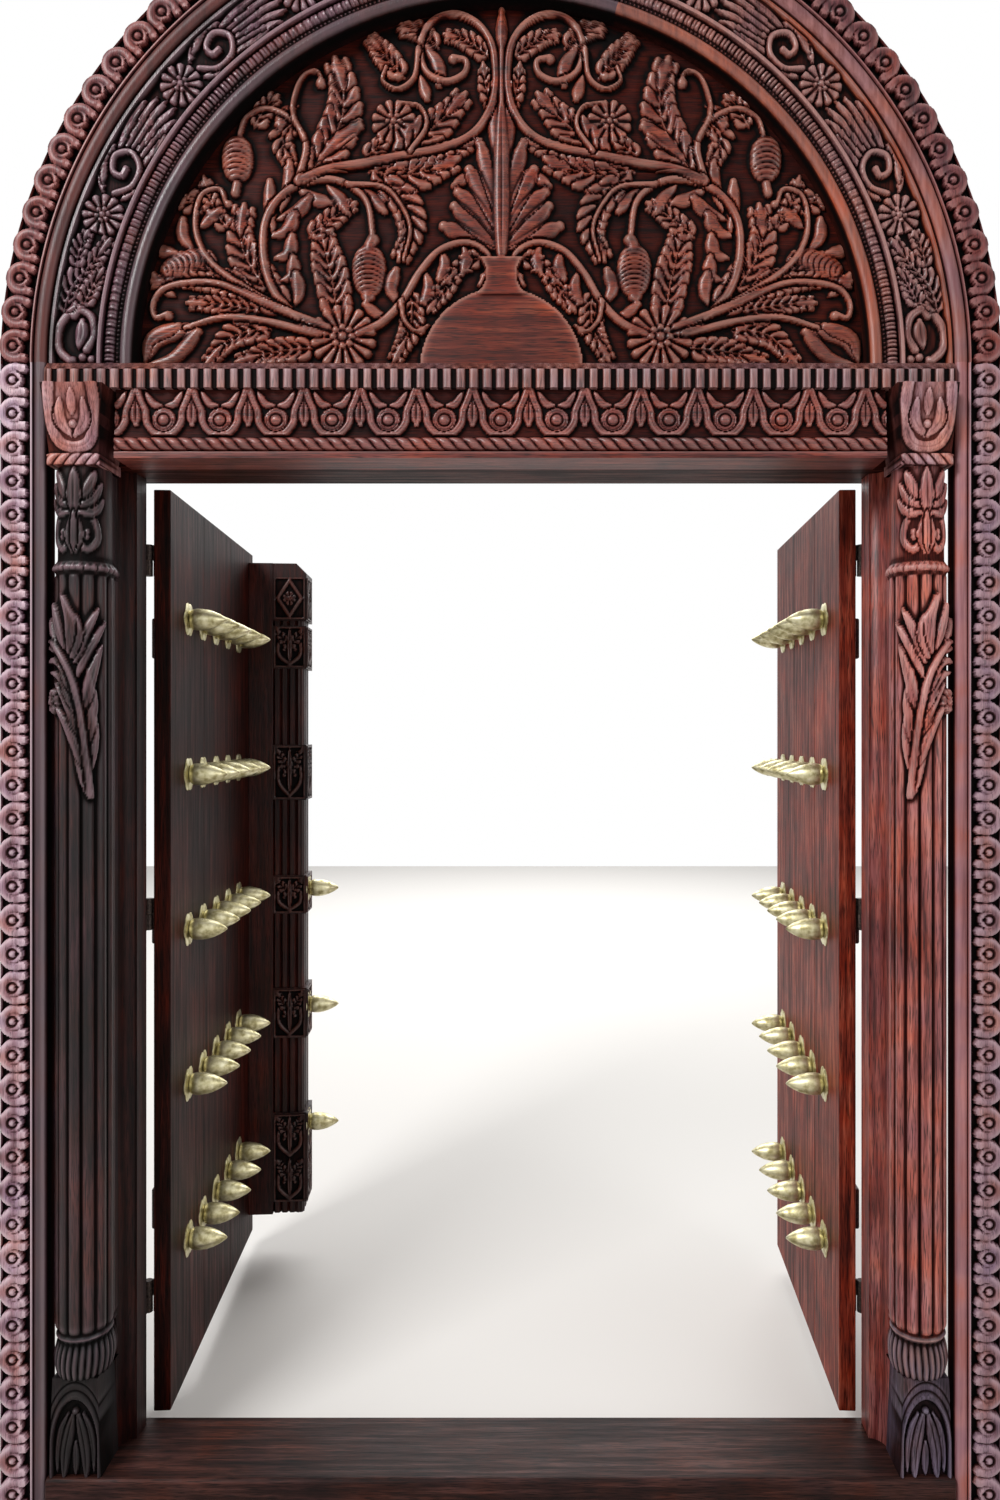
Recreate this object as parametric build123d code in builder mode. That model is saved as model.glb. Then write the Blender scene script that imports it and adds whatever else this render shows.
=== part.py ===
from build123d import *
import os
from math import atan, cos, degrees, hypot, radians, sin

os.makedirs("parts", exist_ok=True)

# A carved timber double door with its frame: threshold, jambs, head, a round arch over a carved
# tympanum, engaged columns, and two plank leaves studded with brass spikes that open inward.
# X runs to the right as seen from outside, Y runs into the building and Z is up.
# The origin is the middle of the threshold's underside. All sizes are in millimetres.

# Doorway
opening_width = 1514.0
opening_height = 1996.0
tread_z = 70.0
head_z = tread_z + opening_height

# Depths: the wall's outer face, and the front and back of the frame timbers
wall_face_y = -60.0
frame_front_y = -16.0
frame_back_y = 106.0
sill_front_y = -106.0
frame_half_width = 891.0

# Jambs and the planted stops that the leaves close against
stop_inner_x = opening_width / 2
stop_width = 28.0
stop_back_y = 67.0
stop_quirk = 5.0
stop_bead_y = 16.0
jamb_inner_x = stop_inner_x + stop_width
jamb_outer_x = 887.0
sill_step = 14.0
sill_nose = 6.0


def wedge_points(start_deg, end_deg, reach):
    """Corner points of a triangle from the arch's centre that takes in one segment."""
    return [
        (0, 0),
        (reach * cos(radians(start_deg)), reach * sin(radians(start_deg))),
        (reach * cos(radians(end_deg)), reach * sin(radians(end_deg))),
    ]


def foliage_points(base_x, base_z, tip_x, tip_z, half_width):
    """Corner points of one pointed leaf, widest nearer its stalk."""
    along_x = tip_x - base_x
    along_z = tip_z - base_z
    length = hypot(along_x, along_z)
    across_x = half_width * along_z / length
    across_z = -half_width * along_x / length
    belly_x = base_x + 0.4 * along_x
    belly_z = base_z + 0.4 * along_z
    return [
        (base_x, base_z),
        (belly_x + across_x, belly_z + across_z),
        (tip_x, tip_z),
        (belly_x - across_x, belly_z - across_z),
    ]


def stem_points(line, half_width):
    """Outline of a stem of even width that follows a line of points."""
    right = []
    left = []
    for index, (x, z) in enumerate(line):
        before = line[max(index - 1, 0)]
        after = line[min(index + 1, len(line) - 1)]
        run_x = after[0] - before[0]
        run_z = after[1] - before[1]
        run = hypot(run_x, run_z)
        right.append((x + half_width * run_z / run, z - half_width * run_x / run))
        left.append((x - half_width * run_z / run, z + half_width * run_x / run))
    return right + left[::-1]


# Threshold: one hardwood beam, with a lower strip behind the step that the leaves close against
with BuildPart() as threshold:
    with BuildSketch(Plane.YZ):
        with BuildLine():
            Polyline(
                (sill_front_y, 0),
                (frame_back_y, 0),
                (frame_back_y, tread_z),
                (sill_front_y + sill_nose, tread_z),
                (sill_front_y, tread_z - sill_nose),
                close=True,
            )
        make_face()
    extrude(amount=frame_half_width, both=True)
    with BuildSketch(Plane.XY.offset(tread_z)):
        with Locations((0, (stop_back_y + frame_back_y) / 2)):
            Rectangle(2 * jamb_inner_x, frame_back_y - stop_back_y)
    extrude(amount=-sill_step, mode=Mode.SUBTRACT)
threshold.part.label = "threshold"
export_step(threshold.part, "parts/threshold.step")

# Jambs: upright posts tenoned between threshold and head
with BuildPart() as jamb_left:
    with BuildSketch(Plane.XY.offset(tread_z)):
        with Locations((-(jamb_inner_x + jamb_outer_x) / 2, (frame_front_y + frame_back_y) / 2)):
            Rectangle(jamb_outer_x - jamb_inner_x, frame_back_y - frame_front_y)
    extrude(amount=opening_height)
jamb_left.part.label = "jamb_left"
export_step(jamb_left.part, "parts/jamb_left.step")

with BuildPart() as jamb_right:
    mirror(jamb_left.part, about=Plane.YZ)
jamb_right.part.label = "jamb_right"
export_step(jamb_right.part, "parts/jamb_right.step")

# Jamb stops: planted strips with a quirk and a rounded bead toward the front
with BuildPart() as jamb_stop_left:
    with BuildSketch(Plane.XY.offset(tread_z)):
        with BuildLine():
            Polyline(
                (-jamb_inner_x, frame_front_y),
                (-jamb_inner_x, stop_back_y),
                (-stop_inner_x, stop_back_y),
                (-stop_inner_x, stop_bead_y),
                (-stop_inner_x - stop_quirk, stop_bead_y),
            )
            RadiusArc(
                (-stop_inner_x - stop_quirk, stop_bead_y),
                (-jamb_inner_x, frame_front_y),
                -(stop_bead_y - frame_front_y),
            )
        make_face()
    extrude(amount=opening_height)
jamb_stop_left.part.label = "jamb_stop_left"
export_step(jamb_stop_left.part, "parts/jamb_stop_left.step")

with BuildPart() as jamb_stop_right:
    mirror(jamb_stop_left.part, about=Plane.YZ)
jamb_stop_right.part.label = "jamb_stop_right"
export_step(jamb_stop_right.part, "parts/jamb_stop_right.step")

# Head: the lintel beam, and in front of it frieze board, rope moulding and reeded rail
frieze_half_width = 755.0
frieze_front_y = -94.0
frieze_fillet = 14.0
frieze_fillet_y = -106.0
rope_height = 29.0
rope_depth = 16.0
frieze_height = 94.0
rail_face_height = 37.0
rail_weathering = 16.0
rail_weathering_run = 14.0
rope_z = head_z + frieze_fillet
frieze_z = rope_z + rope_height
rail_z = frieze_z + frieze_height
rail_edge_z = rail_z + rail_face_height
springing_z = rail_edge_z + rail_weathering

with BuildPart() as lintel:
    with BuildSketch(Plane.XY.offset(head_z)):
        with Locations((0, (frame_front_y + frame_back_y) / 2)):
            Rectangle(2 * frame_half_width, frame_back_y - frame_front_y)
    extrude(amount=springing_z - head_z)
lintel.part.label = "lintel"
export_step(lintel.part, "parts/lintel.step")

# Frieze: scroll discs, and a pointed lotus between each two of them
frieze_pitch = 110.0
scroll_count = 13
frieze_relief = 9.0
scroll_radius = 27.0
scroll_sides = 8
button_radius = 9.0
scroll_rise = 31.0
lotus_half_width = 17.0
lotus_height = 88.0
lotus_foot = 10.0
lotus_belly_share = 0.45

with BuildPart() as frieze_board:
    with BuildSketch(Plane.YZ):
        with BuildLine():
            Polyline(
                (frame_front_y, head_z),
                (frieze_fillet_y, head_z),
                (frieze_fillet_y, rope_z),
                (frieze_front_y, rope_z),
                (frieze_front_y, rail_z),
                (frame_front_y, rail_z),
                close=True,
            )
        make_face()
    extrude(amount=frieze_half_width, both=True)
    with BuildSketch(Plane.XZ.offset(-frieze_front_y)):
        with Locations((0, frieze_z + scroll_rise)):
            with GridLocations(frieze_pitch, 1, scroll_count, 1):
                RegularPolygon(scroll_radius, scroll_sides, rotation=180 / scroll_sides)
        with Locations((0, frieze_z)):
            with GridLocations(frieze_pitch, 1, scroll_count + 1, 1):
                Polygon(
                    (-lotus_foot / 2, lotus_foot / 2),
                    (lotus_foot / 2, lotus_foot / 2),
                    (lotus_half_width, lotus_belly_share * lotus_height),
                    (0, lotus_height),
                    (-lotus_half_width, lotus_belly_share * lotus_height),
                    align=None,
                )
    extrude(amount=frieze_relief)
frieze_board.part.label = "frieze_board"
export_step(frieze_board.part, "parts/frieze_board.step")

# Rope moulding: strands slant down to the right, drawn as ridges run up along the slant
rope_strand_pitch = 26.5
rope_strand_count = 57
rope_slant = 20.0
rope_ridge = 7.0

with BuildPart() as rope_moulding:
    with BuildSketch(Plane.XY.offset(rope_z)):
        with Locations((0, frieze_front_y - (rope_depth - rope_ridge) / 2)):
            Rectangle(2 * frieze_half_width + 4 * rope_slant, rope_depth - rope_ridge)
        with Locations((0, frieze_front_y - rope_depth)):
            with GridLocations(rope_strand_pitch, 1, rope_strand_count + 2, 1):
                Polygon(
                    (-rope_strand_pitch / 2, rope_ridge),
                    (rope_strand_pitch / 2, rope_ridge),
                    (0, 0),
                    align=None,
                )
    extrude(amount=(rope_height**2 + rope_slant**2) ** 0.5, dir=(-rope_slant, 0, rope_height))
    with BuildSketch(Plane.XY.offset(rope_z)):
        with Locations((0, frieze_front_y - rope_depth / 2)):
            Rectangle(2 * frieze_half_width, rope_depth)
    extrude(amount=rope_height, mode=Mode.INTERSECT)
rope_moulding.part.label = "rope_moulding"
export_step(rope_moulding.part, "parts/rope_moulding.step")

# Reeded rail: upright reeds on its face and a sloped weathering on top
rail_front_y = -106.0
reed_pitch = 26.0
reed_count = 68
reed_width = 26.4
reed_depth = 7.0

with BuildPart() as reeded_rail:
    with BuildSketch(Plane.XY.offset(rail_z)):
        with Locations((0, (rail_front_y + frame_front_y) / 2)):
            Rectangle(2 * frame_half_width, frame_front_y - rail_front_y)
        with Locations((0, rail_front_y - reed_depth)):
            with GridLocations(reed_pitch, 1, reed_count, 1):
                Polygon(
                    (-reed_width / 2, reed_depth),
                    (reed_width / 2, reed_depth),
                    (0, 0),
                    align=None,
                )
    extrude(amount=rail_face_height)
    with BuildSketch(Plane.YZ):
        with BuildLine():
            Polyline(
                (rail_front_y, rail_edge_z),
                (rail_front_y + rail_weathering_run, springing_z),
                (frame_front_y, springing_z),
                (frame_front_y, rail_edge_z),
                close=True,
            )
        make_face()
    extrude(amount=frame_half_width, both=True)
reeded_rail.part.label = "reeded_rail"
export_step(reeded_rail.part, "parts/reeded_rail.step")

# Arch: an inner ring carved with a vine and an outer architrave carved with curls.
# Both are made in five segments of 36 degrees. Each curve is drawn in short straight facets,
# six degrees on the vine ring and one carved curl, four degrees, on the architrave.
segment_count = 5
segment_angle = 180.0 / segment_count
vine_sides = 60
curl_angle = 4.0
architrave_sides = int(360 / curl_angle)
curls_per_segment = int(segment_angle / curl_angle)
wedge_reach = 1400.0

vine_back_y = -20.0
vine_ground_y = -76.0
vine_front_y = -90.0
tympanum_radius = 728.0
roll_width = 26.0
roll_chamfer = 9.0
bead_band_width = 30.0
inner_fillet_width = 14.0
vine_width = 82.0
outer_fillet_width = 9.0
bead_inner_radius = tympanum_radius + roll_width
fillet_inner_radius = bead_inner_radius + bead_band_width
vine_inner_radius = fillet_inner_radius + inner_fillet_width
vine_outer_radius = vine_inner_radius + vine_width
ring_outer_radius = vine_outer_radius + outer_fillet_width

rosette_radius = 41.0
rosette_step = 20.6
rosette_sides = 8
rosette_relief = 12.0
rosette_eye_radius = 17.0
rosette_eye_sides = 4
rosette_eye_height = 7.0
rosette_eye_slope = 40.0
rosette_ring_radius = (vine_inner_radius + vine_outer_radius) / 2
rosette_angles = [rosette_step * (i + 1) for i in range(4)]
rosette_angles = rosette_angles + [180 - angle for angle in rosette_angles]

# Two leaves spread from a stalk halfway between each two rosettes and lean up the ring
vine_leaf_half_width = 13.0
vine_leaf_spread = 27.0
vine_leaf_before = 6.0
vine_leaf_after = 4.5
vine_leaf_relief = 9.0
vine_leaf_angles = [rosette_step * (i + 0.5) for i in range(4)]
vine_leaves = []
for angle in vine_leaf_angles:
    for spread in (-vine_leaf_spread, vine_leaf_spread):
        stalk = radians(angle - vine_leaf_before)
        tip = radians(angle + vine_leaf_after)
        stalk_x = rosette_ring_radius * cos(stalk)
        stalk_z = rosette_ring_radius * sin(stalk)
        tip_x = (rosette_ring_radius + spread) * cos(tip)
        tip_z = (rosette_ring_radius + spread) * sin(tip)
        for turn in (-1, 1):
            vine_leaves.append(
                foliage_points(turn * stalk_x, stalk_z, turn * tip_x, tip_z, vine_leaf_half_width)
            )

for number in range(segment_count):
    start = number * segment_angle
    end = start + segment_angle
    back_plane = Plane(origin=(0, vine_back_y, springing_z), x_dir=(1, 0, 0), z_dir=(0, -1, 0))
    ground_plane = back_plane.offset(vine_back_y - vine_ground_y)
    with BuildPart() as vine_ring:
        with BuildSketch(back_plane):
            RegularPolygon(bead_inner_radius, vine_sides)
            RegularPolygon(tympanum_radius, vine_sides, mode=Mode.SUBTRACT)
            Polygon(*wedge_points(start, end, wedge_reach), align=None, mode=Mode.INTERSECT)
        extrude(amount=vine_back_y - vine_front_y)
        front_edges = vine_ring.edges().filter_by_position(Axis.Y, vine_front_y, vine_front_y)
        chamfer(front_edges.filter_by(lambda edge: edge.length > 2 * roll_width), roll_chamfer)
        with BuildSketch(back_plane):
            RegularPolygon(ring_outer_radius, vine_sides)
            RegularPolygon(bead_inner_radius, vine_sides, mode=Mode.SUBTRACT)
            Polygon(*wedge_points(start, end, wedge_reach), align=None, mode=Mode.INTERSECT)
        extrude(amount=vine_back_y - vine_ground_y)
        with BuildSketch(ground_plane):
            RegularPolygon(vine_inner_radius, vine_sides)
            RegularPolygon(fillet_inner_radius, vine_sides, mode=Mode.SUBTRACT)
            Polygon(*wedge_points(start, end, wedge_reach), align=None, mode=Mode.INTERSECT)
        extrude(amount=vine_ground_y - vine_front_y)
        with BuildSketch(ground_plane):
            RegularPolygon(ring_outer_radius, vine_sides)
            RegularPolygon(vine_outer_radius, vine_sides, mode=Mode.SUBTRACT)
            Polygon(*wedge_points(start, end, wedge_reach), align=None, mode=Mode.INTERSECT)
        extrude(amount=vine_ground_y - vine_front_y)
        with BuildSketch(ground_plane):
            for outline in vine_leaves:
                Polygon(*outline, align=None)
            Polygon(*wedge_points(start, end, wedge_reach), align=None, mode=Mode.INTERSECT)
        extrude(amount=vine_leaf_relief)
        for angle in [a for a in rosette_angles if start < a < end]:
            centre_x = rosette_ring_radius * cos(radians(angle))
            centre_z = rosette_ring_radius * sin(radians(angle))
            with BuildSketch(ground_plane):
                with Locations((centre_x, centre_z)):
                    RegularPolygon(rosette_radius, rosette_sides)
            extrude(amount=rosette_relief)
            with BuildSketch(ground_plane.offset(rosette_relief)):
                with Locations((centre_x, centre_z)):
                    RegularPolygon(rosette_eye_radius, rosette_eye_sides)
            extrude(amount=rosette_eye_height, taper=rosette_eye_slope)
    vine_ring.part.label = f"vine_ring_{number + 1}"
    export_step(vine_ring.part, f"parts/vine_ring_{number + 1}.step")

# Architrave: a plain torus toward the door and a band of carved curls, open toward the door
architrave_front_y = -100.0
torus_inner = frame_half_width
torus_width = 31.0
torus_chamfer = 10.0
curl_band_width = 63.0
curl_band_inner = torus_inner + torus_width
curl_band_outer = curl_band_inner + curl_band_width
curl_depth = 10.0
curl_mouth_width = 28.0
curl_mouth_depth = 26.0
architrave_depth = wall_face_y - architrave_front_y

for number in range(segment_count):
    start = number * segment_angle
    end = start + segment_angle
    wall_plane = Plane(origin=(0, wall_face_y, springing_z), x_dir=(1, 0, 0), z_dir=(0, -1, 0))
    front_plane = wall_plane.offset(architrave_depth)
    with BuildPart() as architrave_arch:
        with BuildSketch(wall_plane):
            RegularPolygon(curl_band_inner, architrave_sides)
            RegularPolygon(torus_inner, architrave_sides, mode=Mode.SUBTRACT)
            Polygon(*wedge_points(start, end, wedge_reach), align=None, mode=Mode.INTERSECT)
        extrude(amount=architrave_depth)
        front_edges = architrave_arch.edges().filter_by_position(
            Axis.Y, architrave_front_y, architrave_front_y
        )
        chamfer(front_edges.filter_by(lambda edge: edge.length > 1.5 * torus_width), torus_chamfer)
        with BuildSketch(wall_plane):
            RegularPolygon(curl_band_outer, architrave_sides)
            RegularPolygon(curl_band_inner, architrave_sides, mode=Mode.SUBTRACT)
            Polygon(*wedge_points(start, end, wedge_reach), align=None, mode=Mode.INTERSECT)
        extrude(amount=architrave_depth)
        with BuildSketch(front_plane):
            with PolarLocations(
                curl_band_inner + curl_mouth_depth / 2,
                curls_per_segment,
                start_angle=start + curl_angle / 2,
                angular_range=segment_angle,
            ):
                Rectangle(curl_mouth_depth, curl_mouth_width)
        extrude(amount=-curl_depth, mode=Mode.SUBTRACT)
    architrave_arch.part.label = f"architrave_arch_{number + 1}"
    export_step(architrave_arch.part, f"parts/architrave_arch_{number + 1}.step")

# Architrave uprights: the same profile run down to the floor, 34 curls each
upright_curls = 34
upright_pitch = springing_z / upright_curls
upright_plane = Plane.XZ.offset(-wall_face_y)

with BuildPart() as architrave_upright_left:
    with BuildSketch(Plane.XY):
        with BuildLine():
            Polyline(
                (-torus_inner, wall_face_y),
                (-torus_inner, architrave_front_y + torus_chamfer),
                (-torus_inner - torus_chamfer, architrave_front_y),
                (-curl_band_inner + torus_chamfer, architrave_front_y),
                (-curl_band_inner, architrave_front_y + torus_chamfer),
                (-curl_band_inner, architrave_front_y),
                (-curl_band_outer, architrave_front_y),
                (-curl_band_outer, wall_face_y),
                close=True,
            )
        make_face()
    extrude(amount=springing_z)
    with BuildSketch(upright_plane.offset(architrave_depth)):
        with Locations((-curl_band_inner - curl_mouth_depth / 2, springing_z / 2)):
            with GridLocations(1, upright_pitch, 1, upright_curls):
                Rectangle(curl_mouth_depth, curl_mouth_width)
    extrude(amount=-curl_depth, mode=Mode.SUBTRACT)
architrave_upright_left.part.label = "architrave_upright_left"
export_step(architrave_upright_left.part, "parts/architrave_upright_left.step")

with BuildPart() as architrave_upright_right:
    mirror(architrave_upright_left.part, about=Plane.YZ)
architrave_upright_right.part.label = "architrave_upright_right"
export_step(architrave_upright_right.part, "parts/architrave_upright_right.step")

# Tympanum: three boards behind the vine ring, carved with scrolls round an urn. The carving is
# drawn for the right half, from the arch's centre, and mirrored.
tympanum_back_y = -20.0
tympanum_ground_y = -44.0
tympanum_relief = 12.0
tympanum_joints = (0.0, 202.0, 400.0, 740.0)
tympanum_names = ("lower", "middle", "upper")
carving_margin = 4.0
urn_half_width = 165.0
urn_sides = 16
urn_neck_half_width = 40.0
urn_neck_top = 226.0
bud_tip = 545.0
finial_tip = 660.0
scroll_rosette_radius = 62.0
scroll_rosette_sides = 12
scroll_rosette_x = 318.0
scroll_rosette_z = 67.0
flower_radius = 48.0
flower_sides = 8
flower_x = 218.0
flower_z = 404.0
eye_radius = 24.0
eye_sides = 6
eye_height = 8.0
pod_radius = 42.0
pod_sides = 6
stem_half_width = 9.0
large_leaf = 34.0
middle_leaf = 23.0
small_leaf = 14.0

# The seed pods hang at the ends of three stems
pods = ((268, 207), (527, 421), (628, 207))
stem_to_low_pod = ((345, 80), (409, 102), (459, 162), (479, 233), (473, 303), (439, 353))
stem_to_low_pod = stem_to_low_pod + ((389, 379), (338, 383), (298, 367), (268, 333), (262, 262))
stem_to_side_pod = ((409, 106), (509, 162), (579, 213), (609, 263), (613, 313), (599, 353), (559, 359))
stem_to_edge = ((348, 92), (469, 132), (559, 172), (630, 176), (688, 158))
stem_to_bud = ((380, 60), (470, 44), (560, 38), (630, 42))
stem_to_high_pod = ((409, 383), (393, 443), (405, 484), (439, 514), (479, 524), (509, 504), (520, 470))
stem_to_crown = ((409, 383), (348, 413), (208, 433), (128, 443), (67, 464), (27, 504), (14, 564))
stem_to_crown = stem_to_crown + ((18, 644), (47, 690), (98, 704), (148, 686), (168, 644), (148, 594))
stem_to_crown = stem_to_crown + ((108, 580), (78, 600))
stem_to_urn = ((288, 72), (208, 112), (158, 192), (118, 243), (57, 253), (27, 227))
stems = (
    stem_to_low_pod,
    stem_to_side_pod,
    stem_to_edge,
    stem_to_bud,
    stem_to_high_pod,
    stem_to_crown,
    stem_to_urn,
)
large_leaves = ((318, 102, 359, 313), (439, 132, 529, 313), (379, 403, 318, 622))
middle_leaves = (
    (215, 350, 197, 214),
    (148, 443, 57, 554),
    (228, 420, 67, 363),
    (384, 36, 520, 32),
    (618, 42, 706, 62),
)
small_leaves = (
    (613, 262, 660, 283),
    (600, 353, 574, 420),
    (560, 172, 625, 118),
    (208, 112, 262, 160),
    (150, 200, 95, 152),
    (8, 420, 37, 494),
    (8, 365, 50, 443),
    (8, 315, 68, 393),
    (8, 275, 88, 353),
    (8, 248, 98, 313),
)

with BuildSketch() as carving:
    for line in stems:
        Polygon(*stem_points(line, stem_half_width), align=None)
    for leaf_place in large_leaves:
        Polygon(*foliage_points(*leaf_place, large_leaf), align=None)
    for leaf_place in middle_leaves:
        Polygon(*foliage_points(*leaf_place, middle_leaf), align=None)
    for leaf_place in small_leaves:
        Polygon(*foliage_points(*leaf_place, small_leaf), align=None)
    with Locations(*pods):
        RegularPolygon(pod_radius, pod_sides, rotation=30)
    with Locations((scroll_rosette_x, scroll_rosette_z)):
        RegularPolygon(scroll_rosette_radius, scroll_rosette_sides)
    with Locations((flower_x, flower_z)):
        RegularPolygon(flower_radius, flower_sides)
    mirror(about=Plane.YZ)
    RegularPolygon(urn_half_width, urn_sides, rotation=180 / urn_sides)
    with Locations((0, urn_neck_top / 2)):
        Rectangle(2 * urn_neck_half_width, urn_neck_top)
    Polygon(*foliage_points(0, urn_neck_top - urn_neck_half_width, 0, bud_tip, middle_leaf), align=None)
    Polygon(*foliage_points(0, bud_tip - urn_neck_half_width, 0, finial_tip, small_leaf / 2), align=None)
    RegularPolygon(tympanum_radius - carving_margin, vine_sides, mode=Mode.INTERSECT)

eye_points = []
for side in (-1, 1):
    eye_points.append((side * scroll_rosette_x, scroll_rosette_z))
    eye_points.append((side * flower_x, flower_z))

tympanum_plane = Plane(origin=(0, tympanum_back_y, springing_z), x_dir=(1, 0, 0), z_dir=(0, -1, 0))
tympanum_ground = tympanum_plane.offset(tympanum_back_y - tympanum_ground_y)

for number, name in enumerate(tympanum_names):
    low = tympanum_joints[number]
    high = tympanum_joints[number + 1]
    with BuildPart() as tympanum_board:
        with BuildSketch(tympanum_plane):
            RegularPolygon(tympanum_radius, vine_sides)
            with Locations((0, (low + high) / 2)):
                Rectangle(4 * tympanum_radius, high - low, mode=Mode.INTERSECT)
        extrude(amount=tympanum_back_y - tympanum_ground_y)
        with BuildSketch(tympanum_ground):
            add(carving.sketch)
            with Locations((0, (low + high) / 2)):
                Rectangle(4 * tympanum_radius, high - low, mode=Mode.INTERSECT)
        extrude(amount=tympanum_relief)
        for eye_x, eye_z in [place for place in eye_points if low < place[1] - eye_radius < high]:
            with BuildSketch(tympanum_ground.offset(tympanum_relief)):
                with Locations((eye_x, eye_z)):
                    RegularPolygon(eye_radius, eye_sides)
                with Locations((0, (low + high) / 2)):
                    Rectangle(4 * tympanum_radius, high - low, mode=Mode.INTERSECT)
            extrude(amount=eye_height, taper=rosette_eye_slope)
    tympanum_board.part.label = f"tympanum_board_{name}"
    export_step(tympanum_board.part, f"parts/tympanum_board_{name}.step")

# Engaged columns: pedestal, reeded shaft with cushion and drum, and capital
column_x = 830.0
column_axis_y = -61.0
pedestal_inner_x = 782.0
pedestal_outer_x = 887.0
pedestal_front_y = -101.0
pedestal_height = 194.0
pedestal_flare = 8.0
horseshoe_half_width = 38.0
horseshoe_bar = 14.0
horseshoe_shoulder = 137.0
horseshoe_top = 173.0
horseshoe_top_half_width = 18.0
horseshoe_relief = 7.0
cushion_height = 86.0
cushion_foot_radius = 50.0
cushion_belly_share = 0.33
cushion_radius = 58.0
cushion_neck_radius = 46.0
cushion_sides = 14
shaft_core_radius = 46.0
reed_circle_radius = 43.0
reed_radius = 14.0
shaft_reeds = 12
neck_ring_height = 30.0
neck_ring_radius = 58.0
neck_ring_sides = 16
drum_radius = 55.0
drum_sides = 12
drum_height = 183.0
capital_lap = 16.0
spray_drop = 30.0
spray_length = 400.0
spray_half_width = 31.0
spray_front_y = -125.0
capital_z = head_z - capital_lap
neck_ring_z = capital_z - drum_height - neck_ring_height
pedestal_top_z = tread_z + pedestal_height
cushion_belly_z = pedestal_top_z + cushion_belly_share * cushion_height
cushion_top_z = pedestal_top_z + cushion_height
pedestal_x = (pedestal_inner_x + pedestal_outer_x) / 2
pedestal_foot = (pedestal_outer_x - pedestal_inner_x) / 2
pedestal_head = pedestal_foot - pedestal_flare
spray_top_z = neck_ring_z - spray_drop


def slope(change, height, sides):
    """Taper in degrees of a regular prism whose corner radius changes over a height."""
    return degrees(atan(change * cos(radians(180 / sides)) / height))


with BuildPart() as pedestal_left:
    with BuildSketch(Plane.XZ.offset(-frame_front_y)):
        with Locations((-pedestal_x, tread_z)):
            Polygon(
                (-pedestal_foot, 0),
                (pedestal_foot, 0),
                (pedestal_head, pedestal_height),
                (-pedestal_head, pedestal_height),
                align=None,
            )
    extrude(amount=frame_front_y - pedestal_front_y - horseshoe_relief)
    with BuildSketch(Plane.XZ.offset(-pedestal_front_y - horseshoe_relief)):
        with Locations((-pedestal_x, tread_z)):
            Polygon(
                (-horseshoe_half_width, 0),
                (horseshoe_half_width, 0),
                (horseshoe_half_width, horseshoe_shoulder),
                (horseshoe_top_half_width, horseshoe_top),
                (-horseshoe_top_half_width, horseshoe_top),
                (-horseshoe_half_width, horseshoe_shoulder),
                align=None,
            )
            Polygon(
                (-horseshoe_half_width + horseshoe_bar, -1),
                (horseshoe_half_width - horseshoe_bar, -1),
                (horseshoe_half_width - horseshoe_bar, horseshoe_shoulder - horseshoe_bar),
                (0, horseshoe_top - 1.5 * horseshoe_bar),
                (-horseshoe_half_width + horseshoe_bar, horseshoe_shoulder - horseshoe_bar),
                align=None,
                mode=Mode.SUBTRACT,
            )
        with Locations((-pedestal_x, tread_z + pedestal_height / 2)):
            RegularPolygon(button_radius, 6)
    extrude(amount=horseshoe_relief)
pedestal_left.part.label = "pedestal_left"
export_step(pedestal_left.part, "parts/pedestal_left.step")

with BuildPart() as pedestal_right:
    mirror(pedestal_left.part, about=Plane.YZ)
pedestal_right.part.label = "pedestal_right"
export_step(pedestal_right.part, "parts/pedestal_right.step")

with BuildPart() as column_left:
    with BuildSketch(Plane.XY.offset(pedestal_top_z)):
        with Locations((-column_x, column_axis_y)):
            RegularPolygon(cushion_foot_radius, cushion_sides)
    extrude(
        amount=cushion_belly_z - pedestal_top_z,
        taper=-slope(cushion_radius - cushion_foot_radius, cushion_belly_z - pedestal_top_z, cushion_sides),
    )
    with BuildSketch(Plane.XY.offset(cushion_belly_z)):
        with Locations((-column_x, column_axis_y)):
            RegularPolygon(cushion_radius, cushion_sides)
    extrude(
        amount=cushion_top_z - cushion_belly_z,
        taper=slope(cushion_radius - cushion_neck_radius, cushion_top_z - cushion_belly_z, cushion_sides),
    )
    with BuildSketch(Plane.XY.offset(cushion_top_z)):
        with Locations((-column_x, column_axis_y)):
            RegularPolygon(shaft_core_radius, shaft_reeds)
            with PolarLocations(reed_circle_radius, shaft_reeds):
                RegularPolygon(reed_radius, 6, rotation=30)
    extrude(amount=neck_ring_z - cushion_top_z)
    with BuildSketch(Plane.XZ.offset(-spray_front_y)):
        Polygon(
            *foliage_points(
                -column_x, spray_top_z, -column_x, spray_top_z - spray_length, spray_half_width
            ),
            align=None,
        )
    extrude(amount=spray_front_y - column_axis_y)
    with BuildSketch(Plane.XY.offset(neck_ring_z)):
        with Locations((-column_x, column_axis_y)):
            RegularPolygon(neck_ring_radius, neck_ring_sides)
    extrude(amount=neck_ring_height)
    with BuildSketch(Plane.XY.offset(neck_ring_z + neck_ring_height)):
        with Locations((-column_x, column_axis_y)):
            RegularPolygon(drum_radius, drum_sides)
    extrude(amount=drum_height)
    split(bisect_by=Plane.XZ.offset(-frame_front_y), keep=Keep.TOP)
column_left.part.label = "column_left"
export_step(column_left.part, "parts/column_left.step")

with BuildPart() as column_right:
    mirror(column_left.part, about=Plane.YZ)
column_right.part.label = "column_right"
export_step(column_right.part, "parts/column_right.step")

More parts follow.
